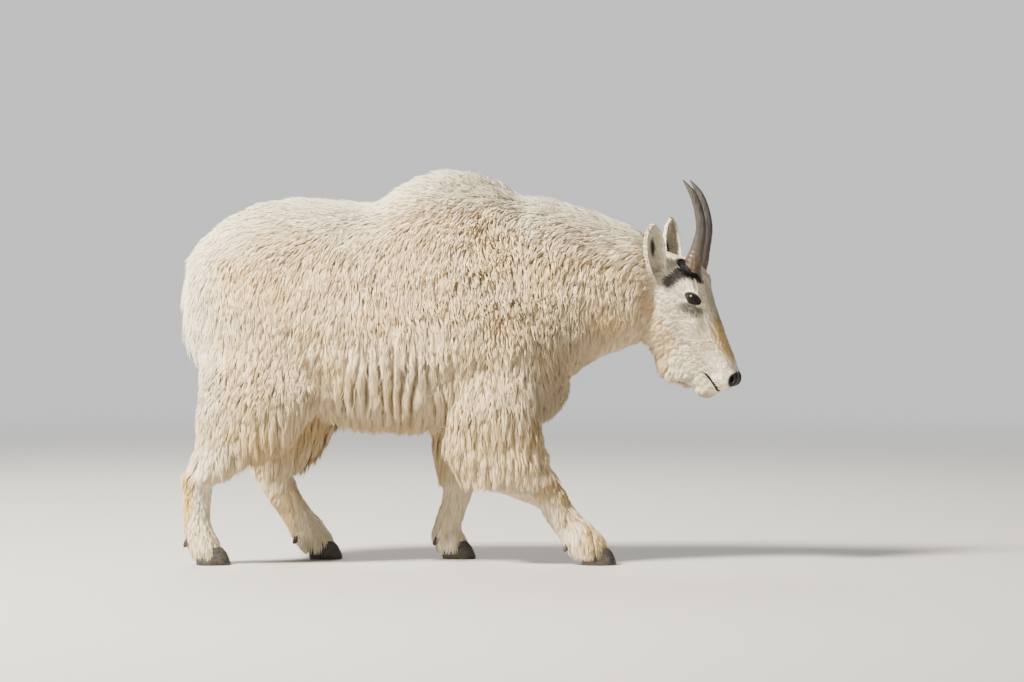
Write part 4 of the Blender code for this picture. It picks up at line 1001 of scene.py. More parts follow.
def make_wool_material(name, root_tone, yellow_tips, sheen):
    nodes = Nodes(name)
    colour = colour_from_marks_and_shade(nodes)
    tuft = nodes.attribute("tuft")
    split = nodes.add("ShaderNodeSeparateColor")
    nodes.link(tuft.outputs["Color"], split.inputs["Color"])
    along = split.outputs["Green"]
    tips = nodes.ramp(along, (0.55, 0.0), (1.0, yellow_tips))
    low = nodes.ramp(split.outputs["Blue"], (0.0, 0.0), (1.0, 1.0))
    colour = nodes.mix(nodes.maths("MULTIPLY", tips, low), colour, YELLOW)
    # The red channel holds each tuft's own tone, darkened as painted shade where it lies deep in a groove.
    tone = nodes.ramp(split.outputs["Red"], (0.0, 0.40), (0.40, 0.84), (1.0, 1.0))
    colour = nodes.mix(1.0, colour, tone, "MULTIPLY")
    dark = nodes.ramp(along, (0.0, root_tone), (0.55, 1.0))
    colour = nodes.mix(1.0, colour, dark, "MULTIPLY")
    nodes.link(colour, nodes.shader.inputs["Base Color"])
    nodes.shader.inputs["Roughness"].default_value = 0.80
    nodes.shader.inputs["Specular IOR Level"].default_value = 0.15
    nodes.shader.inputs["Sheen Weight"].default_value = sheen
    nodes.shader.inputs["Sheen Roughness"].default_value = 0.5
    return nodes.material


skin.data.materials.clear()
skin.data.materials.append(make_skin_material())
WOOL = make_wool_material("long wool", 0.84, 0.30, 0.18)
SHORT_HAIR = make_wool_material("short hair", 0.86, 0.0, 0.04)
print("materials:", WOOL.name, SHORT_HAIR.name)

# %% [markdown]
# The eyes. Each is a ball with a clear dome over the iris, so the sphere is swollen a little where
# it looks out. Iris, pupil and rim are painted by an attribute: how far a vertex lies from the
# line of sight, with the pupil a level slot as in all goats. The surface is wet and glossy.

# %% Eyes
EYE_SIGHT = (0.18, 0.10, 1.0)
IRIS_SIZE = 0.0098
PUPIL_SIZE = (0.0052, 0.0024)
CORNEA_RISE = 0.0009


def make_eye_material():
    nodes = Nodes("wet eye")
    split = nodes.add("ShaderNodeSeparateColor")
    nodes.link(nodes.attribute("eye").outputs["Color"], split.inputs["Color"])
    rays = nodes.ramp(nodes.noise(420.0, 2.0), (0.3, 0.6), (0.7, 1.0))
    iris = nodes.mix(1.0, (0.014, 0.008, 0.005, 1.0), rays, "MULTIPLY")
    colour = nodes.mix(split.outputs["Red"], (0.012, 0.009, 0.008, 1.0), iris)
    colour = nodes.mix(split.outputs["Green"], colour, (0.003, 0.003, 0.004, 1.0))
    nodes.link(colour, nodes.shader.inputs["Base Color"])
    nodes.shader.inputs["Roughness"].default_value = 0.30
    nodes.shader.inputs["Specular IOR Level"].default_value = 0.10
    nodes.shader.inputs["Coat Weight"].default_value = 0.10
    nodes.shader.inputs["Coat Roughness"].default_value = 0.03
    return nodes.material


def make_eye(name, node, side, finish):
    deselect_all()
    bpy.ops.mesh.primitive_uv_sphere_add(segments=64, ring_count=40, radius=EYE_RADIUS)
    made = bpy.context.object
    made.name = name
    centre = eye_centre(side)
    sight = Vector((EYE_SIGHT[0], EYE_SIGHT[1], EYE_SIGHT[2] * side)).normalized()
    turn = Vector((0.0, 0.0, 1.0)).rotation_difference(sight).to_matrix().to_4x4()
    made.data.transform(turn)
    points = points_of(made.data)
    ahead = points @ np.array(sight)
    away = np.linalg.norm(points - np.outer(ahead, sight), axis=1)
    dome = CORNEA_RISE * (1.0 - smoothstep(0.0, IRIS_SIZE * 1.15, away)) * (ahead > 0)
    points += np.outer(dome, sight)
    lay_points(made.data, points)
    level = Vector((math.cos(EYE_SLANT), math.sin(EYE_SLANT), 0.0))
    upright = sight.cross(level).normalized()
    slot = np.sqrt((points @ np.array(level) / PUPIL_SIZE[0]) ** 2 + (points @ np.array(upright) / PUPIL_SIZE[1]) ** 2)
    ahead_only = (ahead > 0).astype(float)
    iris = (1.0 - smoothstep(IRIS_SIZE * 0.86, IRIS_SIZE, away)) * ahead_only
    pupil = (1.0 - smoothstep(0.85, 1.1, slot)) * ahead_only
    set_colour(made.data, "eye", np.stack((iris, pupil, iris * 0, iris * 0 + 1), 1))
    made.data.transform(HEAD @ Matrix.Translation(centre))
    made.data.flip_normals()
    made.data.materials.append(finish)
    only(made)
    bpy.ops.object.shade_smooth()
    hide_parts(node)
    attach(made, "root")
    return made


eye_finish = make_eye_material()
eyes = [make_eye("eyeball_left", "eye_left", 1, eye_finish), make_eye("eyeball_right", "eye_right", -1, eye_finish)]
print("eyes:", [eye.name for eye in eyes])

# %% [markdown]
# The horns rise and curve back to a point. They have low rings near the base, close together, and
# smooth out above. The loft follows a smooth curve through the horn's few measured places, and its
# radius carries the rings. Below they are brown and worn, and towards the tip nearly black.

# %% Horns
HORN_STEPS = 84
HORN_SIDES = 28
RING_COUNT = 17
RING_RISE = 0.00055


def make_horn_material():
    nodes = Nodes("horn")
    split = nodes.add("ShaderNodeSeparateColor")
    nodes.link(nodes.attribute("horn").outputs["Color"], split.inputs["Color"])
    up = split.outputs["Red"]
    streaks = nodes.noise(60.0, 4.0, (3.0, 3.0, 0.5))
    base = nodes.mix(nodes.ramp(streaks, (0.35, 0.0), (0.65, 1.0)), (0.12, 0.082, 0.046, 1.0), (0.045, 0.034, 0.024, 1.0))
    dark = nodes.mix(nodes.ramp(streaks, (0.3, 0.0), (0.7, 1.0)), (0.030, 0.026, 0.024, 1.0), (0.075, 0.064, 0.055, 1.0))
    height = nodes.maths("ADD", up, nodes.maths("MULTIPLY", nodes.noise(26.0), 0.16))
    colour = nodes.mix(nodes.ramp(height, (0.20, 0.0), (0.42, 1.0)), base, dark)
    colour = nodes.mix(nodes.ramp(split.outputs["Green"], (0.0, 0.45), (0.5, 0.0)), colour, (0.03, 0.024, 0.02, 1.0))
    nodes.link(colour, nodes.shader.inputs["Base Color"])
    nodes.bump(nodes.noise(240.0, 4.0, (2.0, 2.0, 0.25)), 0.25, 0.001)
    nodes.shader.inputs["Roughness"].default_value = 0.36
    nodes.shader.inputs["Specular IOR Level"].default_value = 0.35
    return nodes.material


def make_horn(name, node, side, finish):
    rows = smooth_rows(HORN, HORN_STEPS)
    points = [Vector((row[0], row[1], row[2] * side)) for row in rows]
    rings, heights, hollows = [], [], []
    for i, point in enumerate(points):
        along = (points[min(i + 1, len(points) - 1)] - points[max(i - 1, 0)]).normalized()
        across = along.cross(Vector((0.0, 0.0, 1.0))).normalized()
        third = across.cross(along)
        share = i / (len(points) - 1)
        wave = 0.5 + 0.5 * math.cos(math.tau * RING_COUNT * share * (1.25 - 0.5 * share))
        ringed = max(0.0, 1.0 - share / 0.62)
        radius = max(rows[i][3] + RING_RISE * (wave - 0.6) * 2.0 * ringed - 0.0003, 0.0006)
        ring = []
        for k in range(HORN_SIDES):
            turn = math.tau * k / HORN_SIDES
            keel = 1.0 + 0.05 * math.cos(turn * 2)
            ring.append(HEAD @ (point + (across * 1.06 * math.cos(turn) + third * 0.92 * math.sin(turn)) * radius * keel))
        rings.append(ring)
        heights.append(share)
        hollows.append(1.0 - (1.0 - wave) * ringed)
    made = loft(name, rings)
    tree = KDTree(len(rings))
    for i, ring in enumerate(rings):
        tree.insert(sum(ring, Vector()) / len(ring), i)
    tree.balance()
    nearest = [tree.find(v.co)[1] for v in made.data.vertices]
    values = np.array([(heights[i], hollows[i], 0.0, 1.0) for i in nearest])
    set_colour(made.data, "horn", values)
    made.data.materials.append(finish)
    only(made)
    bpy.ops.object.shade_smooth_by_angle(angle=math.radians(50))
    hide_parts(node)
    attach(made, "root")
    return made


horn_finish = make_horn_material()
horns = [make_horn("horn_sheath_left", "horn_left", 1, horn_finish), make_horn("horn_sheath_right", "horn_right", -1, horn_finish)]
print("horn faces:", len(horns[0].data.polygons))

# %% [markdown]
# Each foot has two toes with dark hooves, round at the heel and pointed in front, and two small
# dewclaws behind the fetlock. A hoof is a loft of a toe's outline from the sole up. Its edge is
# rounded and its wall leans in towards the coronet. Faint growth lines run round it as bump.

# %% Hooves
FEET = {
    "hind_right": (-0.628, -0.100, 0.0),
    "hind_left": (-0.354, 0.100, 2.0),
    "front_right": (0.340, -0.100, -4.0),
    "front_left": (-0.014, 0.100, 3.0),
}
HOOF_LENGTH = 0.084
HOOF_WIDTH = 0.034
HOOF_HEIGHT = 0.046
TOE_SPREAD = math.radians(6.0)
CLEFT = 0.004
TOE_OUTLINE = (
    (-0.50, -0.30),
    (-0.46, 0.55),
    (-0.30, 0.92),
    (0.00, 1.00),
    (0.26, 0.80),
    (0.43, 0.30),
    (0.50, -0.35),
    (0.44, -0.85),
    (0.00, -0.95),
    (-0.36, -0.92),
)
HOOF_LEVELS = (
    (0.0000, 0.935, 0.0),
    (0.0012, 0.975, 0.0),
    (0.0040, 1.000, 0.0),
    (0.0150, 0.965, -0.002),
    (0.0300, 0.900, -0.006),
    (0.0400, 0.790, -0.010),
    (0.0455, 0.700, -0.012),
)


def make_hoof_material():
    nodes = Nodes("hoof")
    worn = nodes.noise(70.0, 4.0, (1.0, 1.0, 2.5))
    colour = nodes.mix(nodes.ramp(worn, (0.35, 0.0), (0.7, 1.0)), (0.022, 0.019, 0.017, 1.0), (0.075, 0.062, 0.050, 1.0))
    nodes.link(colour, nodes.shader.inputs["Base Color"])
    nodes.bump(nodes.noise(120.0, 3.0, (0.15, 0.15, 5.0)), 0.4, 0.001)
    nodes.shader.inputs["Roughness"].default_value = 0.55
    return nodes.material


def smooth_outline(points, count):
    """A smooth closed outline through the given points."""
    wrapped = [*points[-2:], *points, *points[:3]]
    rows = smooth_rows(wrapped, (len(wrapped) - 1) * 4 + 1)
    return rows[8:8 + len(points) * 4][:: max(1, len(points) * 4 // count)]


def make_hoof(foot, side, finish):
    x, y, heading = FEET[foot]
    turn = math.radians(heading) + side * TOE_SPREAD / 2
    shift = side * (HOOF_WIDTH + CLEFT) / 2
    outline = smooth_outline(TOE_OUTLINE, 40)
    rings = []
    for z, scale, back in HOOF_LEVELS:
        ring = []
        for px, py in outline:
            px = px * HOOF_LENGTH * scale + back
            py = py * HOOF_WIDTH / 2 * scale * side + shift
            place = Vector((x + px * math.cos(turn) - py * math.sin(turn), y + px * math.sin(turn) + py * math.cos(turn), z))
            ring.append(BODY @ place)
        rings.append(ring)
    which = "left" if side > 0 else "right"
    made = loft(f"hoof_wall_{foot}_{which}", rings)
    made.data.materials.append(finish)
    only(made)
    bpy.ops.object.shade_smooth_by_angle(angle=math.radians(45))
    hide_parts(f"hoof_{foot}_{which}")
    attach(made, "root")


def make_dewclaw(foot, side, finish):
    fetlock = Vector(SHANKS[foot][3][:3])
    heading = math.radians(FEET[foot][2])
    forward = Vector((math.cos(heading), math.sin(heading), 0.0))
    left = Vector((-math.sin(heading), math.cos(heading), 0.0))
    root = fetlock - forward * 0.019 + left * side * 0.016 + Vector((0.0, 0.0, -0.016))
    tip = root - forward * 0.016 + left * side * 0.003 + Vector((0.0, 0.0, -0.024))
    shares = np.linspace(0.0, 1.0, 9)
    points = [root.lerp(tip, float(t)) for t in shares]
    sizes = [(0.0088 * math.sqrt(max(1.0 - t**2, 0.004)),) * 2 for t in shares]
    which = "left" if side > 0 else "right"
    made = loft(f"dewclaw_horn_{foot}_{which}", square_rings(points, sizes, 16))
    made.data.materials.append(finish)
    only(made)
    bpy.ops.object.shade_smooth()
    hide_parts(f"dewclaw_{foot}_{which}")
    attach(made, "root")


hoof_finish = make_hoof_material()
for foot in FEET:
    for side in (1, -1):
        make_hoof(foot, side, hoof_finish)
        make_dewclaw(foot, side, hoof_finish)
print("feet:", len(FEET))

# %% [markdown]
# Now the coat. First we find where tufts grow: places spread evenly over the skin's triangles, as
# many to each as its area and the local density ask. The picks step through the running total of
# the triangles, which keeps them more even than free dice would.

# %% Roots on the skin
DENSITY_BODY = 55000.0
DENSITY_HEAD = 118000.0
DENSITY_SHIN = 80000.0
mesh = skin.data
mesh.calc_loop_triangles()
corners = np.empty(len(mesh.loop_triangles) * 3, np.int32)
mesh.loop_triangles.foreach_get("vertices", corners)
corners = corners.reshape(-1, 3)


def nearest_row(x, column):
    """A measure of the trunk, or past the shoulder of the neck, at x along the goat."""
    trunk = np.interp(x, [row[0] for row in TRUNK], [row[column] for row in TRUNK])
    neck = np.interp(x, [row[0] for row in NECK], [row[column] for row in NECK])
    return np.where(x > 0.2, neck, trunk)


def on_head_share(p):
    """1 on the head and 0 on the neck, with a soft change where they meet."""
    return smoothstep(0.412, 0.482, p[:, 0] + 0.05 * (0.70 - p[:, 2]))


def density(world):
    """Tufts for each square metre."""
    p = world - np.array(SHIFT)
    head = on_head_share(p)
    shin = 1.0 - smoothstep(0.19, 0.27, p[:, 2])
    hidden = (1.0 - smoothstep(0.38, 0.45, p[:, 2])) * (np.abs(p[:, 1]) < 0.09) * (1 - shin)
    found = DENSITY_BODY * (1 - head) * (1 - shin) * (1 - 0.45 * hidden)
    return found + DENSITY_HEAD * head + DENSITY_SHIN * shin * (1 - head)


def find_roots(seed):
    a, b, c = (skin_points[corners[:, k]] for k in range(3))
    area = np.linalg.norm(np.cross(b - a, c - a), axis=1) / 2
    total = np.cumsum(area * density((a + b + c) / 3))
    chosen = np.searchsorted(total, np.arange(0.5, total[-1], 1.0))
    rng = np.random.default_rng(seed)
    u, v = rng.random(len(chosen)), rng.random(len(chosen))
    folded = u + v > 1
    u, v = np.where(folded, 1 - u, u), np.where(folded, 1 - v, v)
    weights = np.stack((1 - u - v, u, v), 1)[:, :, None]
    roots = (skin_points[corners[chosen]] * weights).sum(1)
    normals = (skin_normals[corners[chosen]] * weights).sum(1)
    return roots, normals / np.linalg.norm(normals, axis=1)[:, None]


roots, normals = find_roots(5)
print("roots:", len(roots))

# %% [markdown]
# The lie of the coat. On the trunk the wool sweeps back along the spine and turns down over the
# sides; on the legs it hangs; on the head it runs from the nose towards the poll and down the
# cheeks. Each rule gives a way in the world, which is then laid into the skin's own surface. A
# smooth swirl turns it a little from place to place, because no real coat lies in straight rows.

# %% The lie of the coat
def unit(vectors):
    return vectors / np.maximum(np.linalg.norm(vectors, axis=1), 1e-9)[:, None]


def soft_noise(points, size, seed):
    """A smooth field from -1 to 1 that changes over about this many metres."""
    rng = np.random.default_rng(seed)
    total = np.zeros(len(points))
    for _ in range(9):
        way = unit(rng.normal(size=(1, 3)))[0] * math.tau / (size * rng.uniform(1.3, 3.2))
        total += np.sin(points @ way + rng.uniform(0.0, math.tau))
    return np.clip(total / 4.0, -1.0, 1.0)


def turned(lies, normals, angles):
    """Each lie turned in the skin's surface."""
    return lies * np.cos(angles)[:, None] + np.cross(normals, lies) * np.sin(angles)[:, None]


def lie_of_coat(world, normals):
    p = world - np.array(SHIFT)
    x, y, z = p.T
    down = smoothstep(0.0, 0.22, nearest_row(x, 1) - z)
    way = np.stack((-(1.0 - 0.80 * down), np.sign(y) * 0.25 * (1 - down), -(0.12 + 1.0 * down)), 1)
    rump = (1.0 - smoothstep(-0.66, -0.52, x))[:, None]
    way = way * (1 - rump) + np.array((-0.15, 0.0, -1.0)) * rump
    legs = (1.0 - smoothstep(0.30, 0.44, z))[:, None]
    way = way * (1 - legs) + np.array((-0.10, 0.0, -1.0)) * legs
    head = head_points(world)
    low = smoothstep(0.02, -0.07, head[:, 1])
    face = np.stack((-1.0 + 1.1 * low, -0.25 - 0.9 * low, 0.15 * np.sign(head[:, 2])), 1)
    face = face @ np.array(HEAD)[:3, :3].T
    share = on_head_share(p)[:, None]
    way = unit(way * (1 - share) + face * share)
    lies = unit(way - normals * (way * normals).sum(1)[:, None])
    swirl = 0.30 * soft_noise(p, 0.085, 3) + 0.14 * soft_noise(p, 0.028, 4)
    return turned(lies, normals, swirl * (1 - 0.6 * share[:, 0]))


lies = lie_of_coat(roots, normals)
print("lies:", lies.shape)

# %% [markdown]
# How the wool looks in each place: how long it is, how far its tips stand off the skin, how wide a
# tuft is, how far apart the clumps lie, how strongly tips gather there, how much they wave and how
# far they hang. The back is plush, the sides are curly, and flank, breeches and chaps hang in locks.

# %% Length, lift, clumps and waves
# The columns are length, lift, width, clump spacing, gathering, wave, droop, lock and crack depth.
COAT = {
    "side": (0.041, 0.0180, 0.0031, 0.0110, 0.24, 0.0018, 0.26, 0.0, 0.45),
    "back": (0.043, 0.0215, 0.0030, 0.0090, 0.10, 0.0006, 0.05, 0.0, 0.08),
    "flank": (0.048, 0.0180, 0.0034, 0.0150, 0.45, 0.0028, 0.46, 0.20, 0.80),
    "thigh": (0.038, 0.0185, 0.0032, 0.0130, 0.42, 0.0032, 0.36, 0.10, 1.00),
    "wavy": (0.072, 0.0200, 0.0036, 0.0190, 0.55, 0.0046, 0.75, 1.00, 0.15),
    "neck": (0.034, 0.0180, 0.0031, 0.0110, 0.42, 0.0022, 0.35, 0.0, 0.55),
    "shoulder": (0.036, 0.0190, 0.0031, 0.0110, 0.36, 0.0022, 0.35, 0.0, 1.00),
    "legs": (0.048, 0.0170, 0.0033, 0.0150, 0.50, 0.0028, 0.62, 0.25, 0.80),
    "chaps": (0.066, 0.0190, 0.0034, 0.0170, 0.55, 0.0032, 0.74, 0.35, 0.60),
    "thigh_edge": (0.084, 0.0200, 0.0034, 0.0190, 0.66, 0.0034, 0.88, 0.60, 0.20),
    "tail": (0.074, 0.0085, 0.0032, 0.0160, 0.60, 0.0020, 0.85, 0.0, 0.20),
    "shins": (0.023, 0.0068, 0.0029, 0.0085, 0.34, 0.0005, 0.35, 0.0, 0.20),
    "feet": (0.034, 0.0080, 0.0027, 0.0100, 0.30, 0.0008, 0.75, 0.0, 0.10),
    "face": (0.0115, 0.0038, 0.0021, 0.0090, 0.28, 0.0003, 0.05, 0.0, 0.12),
    "jaw": (0.027, 0.0095, 0.0024, 0.0115, 0.45, 0.0010, 0.40, 0.0, 0.55),
    "beard": (0.036, 0.0120, 0.0026, 0.0120, 0.42, 0.0012, 0.50, 0.0, 0.60),
}


def coat_regions(world, normals):
    """The places of each kind of coat as soft masks. Later ones lie over earlier ones."""
    p = world - np.array(SHIFT)
    x, y, z = p.T
    depth = nearest_row(x, 1) - z
    inner = 1.0 - smoothstep(0.06, 0.10, np.abs(y))
    masks = {
        "back": 1.0 - smoothstep(0.04, 0.24, depth),
        "flank": smoothstep(0.28, 0.42, depth) * (1 - smoothstep(0.18, 0.28, x)),
        "thigh": within(p * (1, 0, 1), (-0.52, 0.0, 0.45), (0.20, 1.0, 0.19)),
        "wavy": 1.0 - smoothstep(0.6, 1.1, np.hypot((x + 0.18) / 0.18, (z - 0.42) / 0.19)),
        "neck": smoothstep(0.16, 0.30, x) * smoothstep(0.04, 0.16, depth),
        "shoulder": within(p * (1, 0, 1), (0.12, 0.0, 0.72), (0.20, 1.0, 0.22)),
        "legs": 1.0 - smoothstep(0.33, 0.43, z),
        "chaps": within(p * (1, 0, 1), (0.09, 0.0, 0.27), (0.22, 1.0, 0.16)) * (1 - inner),
        "thigh_edge": within(p * (1, 0, 1), (-0.41, 0.0, 0.35), (0.15, 1.0, 0.09)) * (1 - inner),
        "tail": within(p, (-0.710, 0.0, 0.66), (0.050, 0.045, 0.15)),
        "shins": 1.0 - smoothstep(0.19, 0.27, z),
        "feet": 1.0 - smoothstep(0.07, 0.13, z),
        "face": on_head_share(p),
        "jaw": within(head_points(world) * (1, 1, 0.6), (0.185, -0.135, 0.0), (0.16, 0.060, 0.06)),
        "beard": within(p, (0.530, -0.015, 0.490), (0.095, 0.070, 0.088)),
    }
    return masks


def coat_sizes(world, normals):
    p = world - np.array(SHIFT)
    wool = nearest_row(p[:, 0], 5) / 0.046
    masks = coat_regions(world, normals)
    found = np.tile(np.array(COAT["side"]), (len(world), 1))
    for name, mask in masks.items():
        found += (np.array(COAT[name]) - found) * mask[:, None]
    on_trunk = (1 - masks["legs"]) * (1 - masks["face"])
    found[:, 1] *= 1.0 + (wool - 1.0) * on_trunk
    along, out = head_points(world)[:, :2].T
    short = np.interp(along, (0.0, 0.12, 0.25, 0.33, 0.36), (1.25, 1.0, 0.80, 0.52, 0.36))
    on_face = masks["face"] * (1 - masks["beard"]) * (1 - masks["jaw"])
    found[:, :2] *= (1.0 + (short - 1.0) * on_face)[:, None]
    forelock = within(head_points(world), (0.074, 0.060, 0.0), (0.030, 0.020, 0.045))
    forelock += within(head_points(world), (-0.010, 0.015, 0.0), (0.050, 0.040, 0.075))
    found[:, 0] += 0.014 * forelock
    found[:, 1] += 0.006 * forelock
    for side in (1, -1):
        up, across, away, inside = ear_places(world, normals, side)
        on_ear = (away < 0.032) & (up > 0.0)
        found[on_ear, 0] = np.minimum(found[on_ear, 0], 0.0110)
        found[on_ear, 1] = np.minimum(found[on_ear, 1], 0.0034)
    return found


sizes = coat_sizes(roots, normals)
print("longest:", round(float(sizes[:, 0].max()), 3), "shortest:", round(float(sizes[:, 0].min()), 4))

# %% [markdown]
# Some skin stays bare: nose, lips, lids, eye openings, the depth of the ears, the bases of the horns
# and what the hooves cover. Roots there are dropped.

# %% Bare places
HORN_CLEAR = 0.0015
HOOF_TOP = 0.036


def is_bare(world, normals):
    head = head_points(world)
    bare = bare_black(world) > 0.35
    for side in (1, -1):
        bare |= eye_coordinates(head, side)[0] < 1.34
        up, across, away, inside = ear_places(world, normals, side)
        bare |= inside & (away < 0.030) & (np.hypot(across / 0.0115, (up - EAR_HOLE[0]) / EAR_HOLE[1]) < 0.85)
        mirrored = head * np.array((1.0, 1.0, side))
        for along, out, across, radius in HORN[:3]:
            gap = np.linalg.norm(mirrored - np.array((along, out, across)), axis=1)
            bare |= gap < radius + HORN_CLEAR
    return bare | (world[:, 2] < HOOF_TOP)


keep = ~is_bare(roots, normals)
roots, normals, lies, sizes = (values[keep] for values in (roots, normals, lies, sizes))
print("tufts:", len(roots))

# %% [markdown]
# Clumps. Some roots are drawn as the middles of clumps, more of them where clumps are small. Each
# tuft belongs to the nearest middle, leans its tip towards that one's tip, and shares its wave,
# which makes wool look like wool and not like grass. Large loose clumps hold the small ones.

# %% Clumps
def choose_middles(spacing, seed):
    """Roots drawn so that their mean distance is about the spacing."""
    rng = np.random.default_rng(seed)
    share = 1.0 / (density(roots) * spacing**2)
    return np.flatnonzero(rng.random(len(roots)) < share)


def nearest_middle(middles):
    tree = KDTree(len(middles))
    for k, i in enumerate(middles):
        tree.insert(roots[i], k)
    tree.balance()
    return np.array([tree.find(root)[1] for root in roots])


LARGE_CLUMPS = 2.9
LARGE_GATHER = 0.14
middles = choose_middles(sizes[:, 3], 11)
clump = nearest_middle(middles)
large_middles = choose_middles(sizes[:, 3] * LARGE_CLUMPS, 12)
large_clump = nearest_middle(large_middles)
print("clumps:", len(middles), "large:", len(large_middles))

# %% [markdown]
# A tuft is a thin three-sided blade that tapers to a point. Its path leaves the skin at a slope,
# bends over along the lie, droops where the wool is long, and waves with its clump. Wavering lines
# of grooves run through the wool, wide between hanging locks and fine elsewhere. A tenth of the
# tufts are guard hairs: longer, finer and freer than the rest, which softens every outline. All
# are worked out at once as arrays of numbers, ring by ring, and then written into one mesh a piece.

# %% Tuft paths
SEED = 23
LOCK_SPACING = 0.030
GROOVE_SHARE = 0.62
GROOVE_STEP = 0.003
GUARD_SHARE = 0.11
TIP_FLOOR = 0.010
rng = np.random.default_rng(SEED)
count = len(roots)
guard = rng.random(count) < GUARD_SHARE
place = roots - np.array(SHIFT)
length = sizes[:, 0] * rng.uniform(0.80, 1.15, count) * (1 + 0.14 * soft_noise(place, 0.05, 6)) * (1 + 0.12 * guard)
lift = sizes[:, 1] * rng.uniform(0.78, 1.08, count) * (1 + 0.16 * soft_noise(place, 0.035, 7)) * (1 + 0.15 * guard)
width = sizes[:, 2] * rng.uniform(0.8, 1.25, count) * (1 - 0.5 * guard)
gather = sizes[:, 4] * rng.uniform(0.75, 1.1, count) * (1 - 0.6 * guard)
lies = turned(lies, normals, rng.normal(0.0, 0.16, count))
DOWN = np.array((0.0, 0.0, -1.0))


def tip_offset():
    """From root to tip: mostly along the lie, as far out as the lift, and bent down by the droop."""
    droop = sizes[:, 6:7]
    run = np.sqrt(np.maximum(length**2 - lift**2, (0.35 * length) ** 2))
    fall = DOWN - normals * (normals @ DOWN)[:, None]
    flat = unit(lies * (1 - droop) + fall * droop)
    hang = DOWN * (droop * length[:, None] * 0.22)
    return flat * run[:, None] + normals * lift[:, None] + hang * (normals[:, 2] < 0.2)[:, None]


def gathered(tips, middles, clump, share):
    middle_tips = tips[middles][clump]
    return tips + (middle_tips - tips) * share[:, None]


offset = tip_offset()
free_tips = roots + offset
tips = gathered(free_tips, large_middles, large_clump, np.full(count, LARGE_GATHER) * (sizes[:, 4] > 0.25))
tips = gathered(tips, middles, clump, gather)
tips[:, 2] = np.maximum(tips[:, 2], TIP_FLOOR)
phases = rng.uniform(0.0, math.tau, len(middles))[clump] + rng.uniform(-0.5, 0.5, count)
turns = rng.uniform(0.7, 1.3, len(middles))[clump] * np.clip(length / 0.045, 0.5, 2.2)


def hollows(world, chosen):
    """How deep each place lies in a groove of the wool, in metres."""
    p = world - np.array(SHIFT)
    wander = 1.7 * soft_noise(p * (1.0, 0.6, 0.42), 0.050, 8)
    run = np.abs(np.sin(math.pi * p[:, 0] / LOCK_SPACING + wander))
    locks = (1.0 - smoothstep(0.05, 0.70, run)) * sizes[chosen, 7]
    cracks = (1.0 - smoothstep(0.0, 0.28, np.abs(soft_noise(p, 0.015, 9)))) * sizes[chosen, 8]
    return np.maximum(locks, 0.75 * cracks) * lift[chosen] * GROOVE_SHARE


def tuft_paths(chosen, rings):
    """Points of the chosen tufts at even steps, and how deep and how steep the wool is there."""
    root, out, tip = roots[chosen], normals[chosen], tips[chosen]
    across = unit(np.cross(lies[chosen], out))
    depths, slopes = [], []
    start = unit(out * 0.9 + lies[chosen] * 0.7) * (lift[chosen] * 1.1)[:, None]
    steps = []
    for k in range(rings + 1):
        t = k / rings
        place = root + start * (1.8 * t * (1 - t)) + (tip - root) * (t * t * 0.45 + t * 0.55)
        strength = sizes[chosen, 5] * min(1.0, 2.2 * t)
        swing = np.sin(phases[chosen] + turns[chosen] * math.tau * t) * strength
        curl = np.cos(phases[chosen] * 1.7 + turns[chosen] * math.tau * t) * strength * 0.6
        place = place + across * swing[:, None] + out * curl[:, None]
        sunk = min(1.0, 2.5 * t)
        depth = hollows(place, chosen) * sunk
        ahead = hollows(place + across * GROOVE_STEP, chosen) * sunk
        depths.append(depth)
        slopes.append(across * ((ahead - depth) / GROOVE_STEP)[:, None])
        steps.append(place - out * depth[:, None])
    return np.stack(steps, 1), np.stack(depths, 1), np.stack(slopes, 1)


print("tips worked out for", count, "tufts")

# %% [markdown]
# The mesh of many tufts. Each ring has three corners: left, right and a ridge on top. Sides join
# ring to ring, the last ring closes in the tip, and one triangle closes the root. The map OFBake
# gives each tuft a tiny patch at its root's place on a flat unrolling of the goat's skin.

# %% Helpers for tuft meshes
PATCH = 0.003
WIDTH_ALONG = (0.80, 1.0, 0.90, 0.68, 0.40)


def tuft_faces(rings):
    """Corner numbers of one tuft's triangles, each facing outwards, and which are its underside."""
    faces, under = [(0, 2, 1)], [False]
    for k in range(rings - 1):
        low, high = 3 * k, 3 * (k + 1)
        for j in range(3):
            i = (j + 1) % 3
            faces += [(low + j, low + i, high + j), (low + i, high + i, high + j)]
            under += [j == 0] * 2
    last = 3 * (rings - 1)
    faces += [(last + j, last + (j + 1) % 3, last + 3) for j in range(3)]
    under += [j == 0 for j in range(3)]
    return np.array(faces), np.array(under)


def unrolled(world):
    """The skin unrolled: along the goat, and round it or round the leg."""
    p = world - np.array(SHIFT)
    x, y, z = p.T
    middle = np.interp(x, (-0.7, 0.1, 0.3, 0.6), (0.66, 0.63, 0.70, 0.66))
    round_body = np.arctan2(y, z - middle) / math.tau + 0.5
    leg = z < 0.34
    middle_x = np.where(x > -0.25, np.where(y > 0, -0.02, 0.19), np.where(y > 0, -0.44, -0.63))
    round_leg = np.arctan2(np.abs(y) - 0.10, x - middle_x) / math.tau + 0.5
    u = np.where(leg, 0.5 + 0.24 * np.sign(y) + 0.22 * (round_leg - 0.5), round_body)
    v = np.where(leg, np.where(x > -0.25, 0.0, 0.14) + z / 0.34 * 0.13, 0.28 + 0.72 * (x + 0.72) / 1.44)
    return np.stack((u, v), 1)


print("triangles a tuft:", len(tuft_faces(2)[0]), "short and", len(tuft_faces(3)[0]), "long")

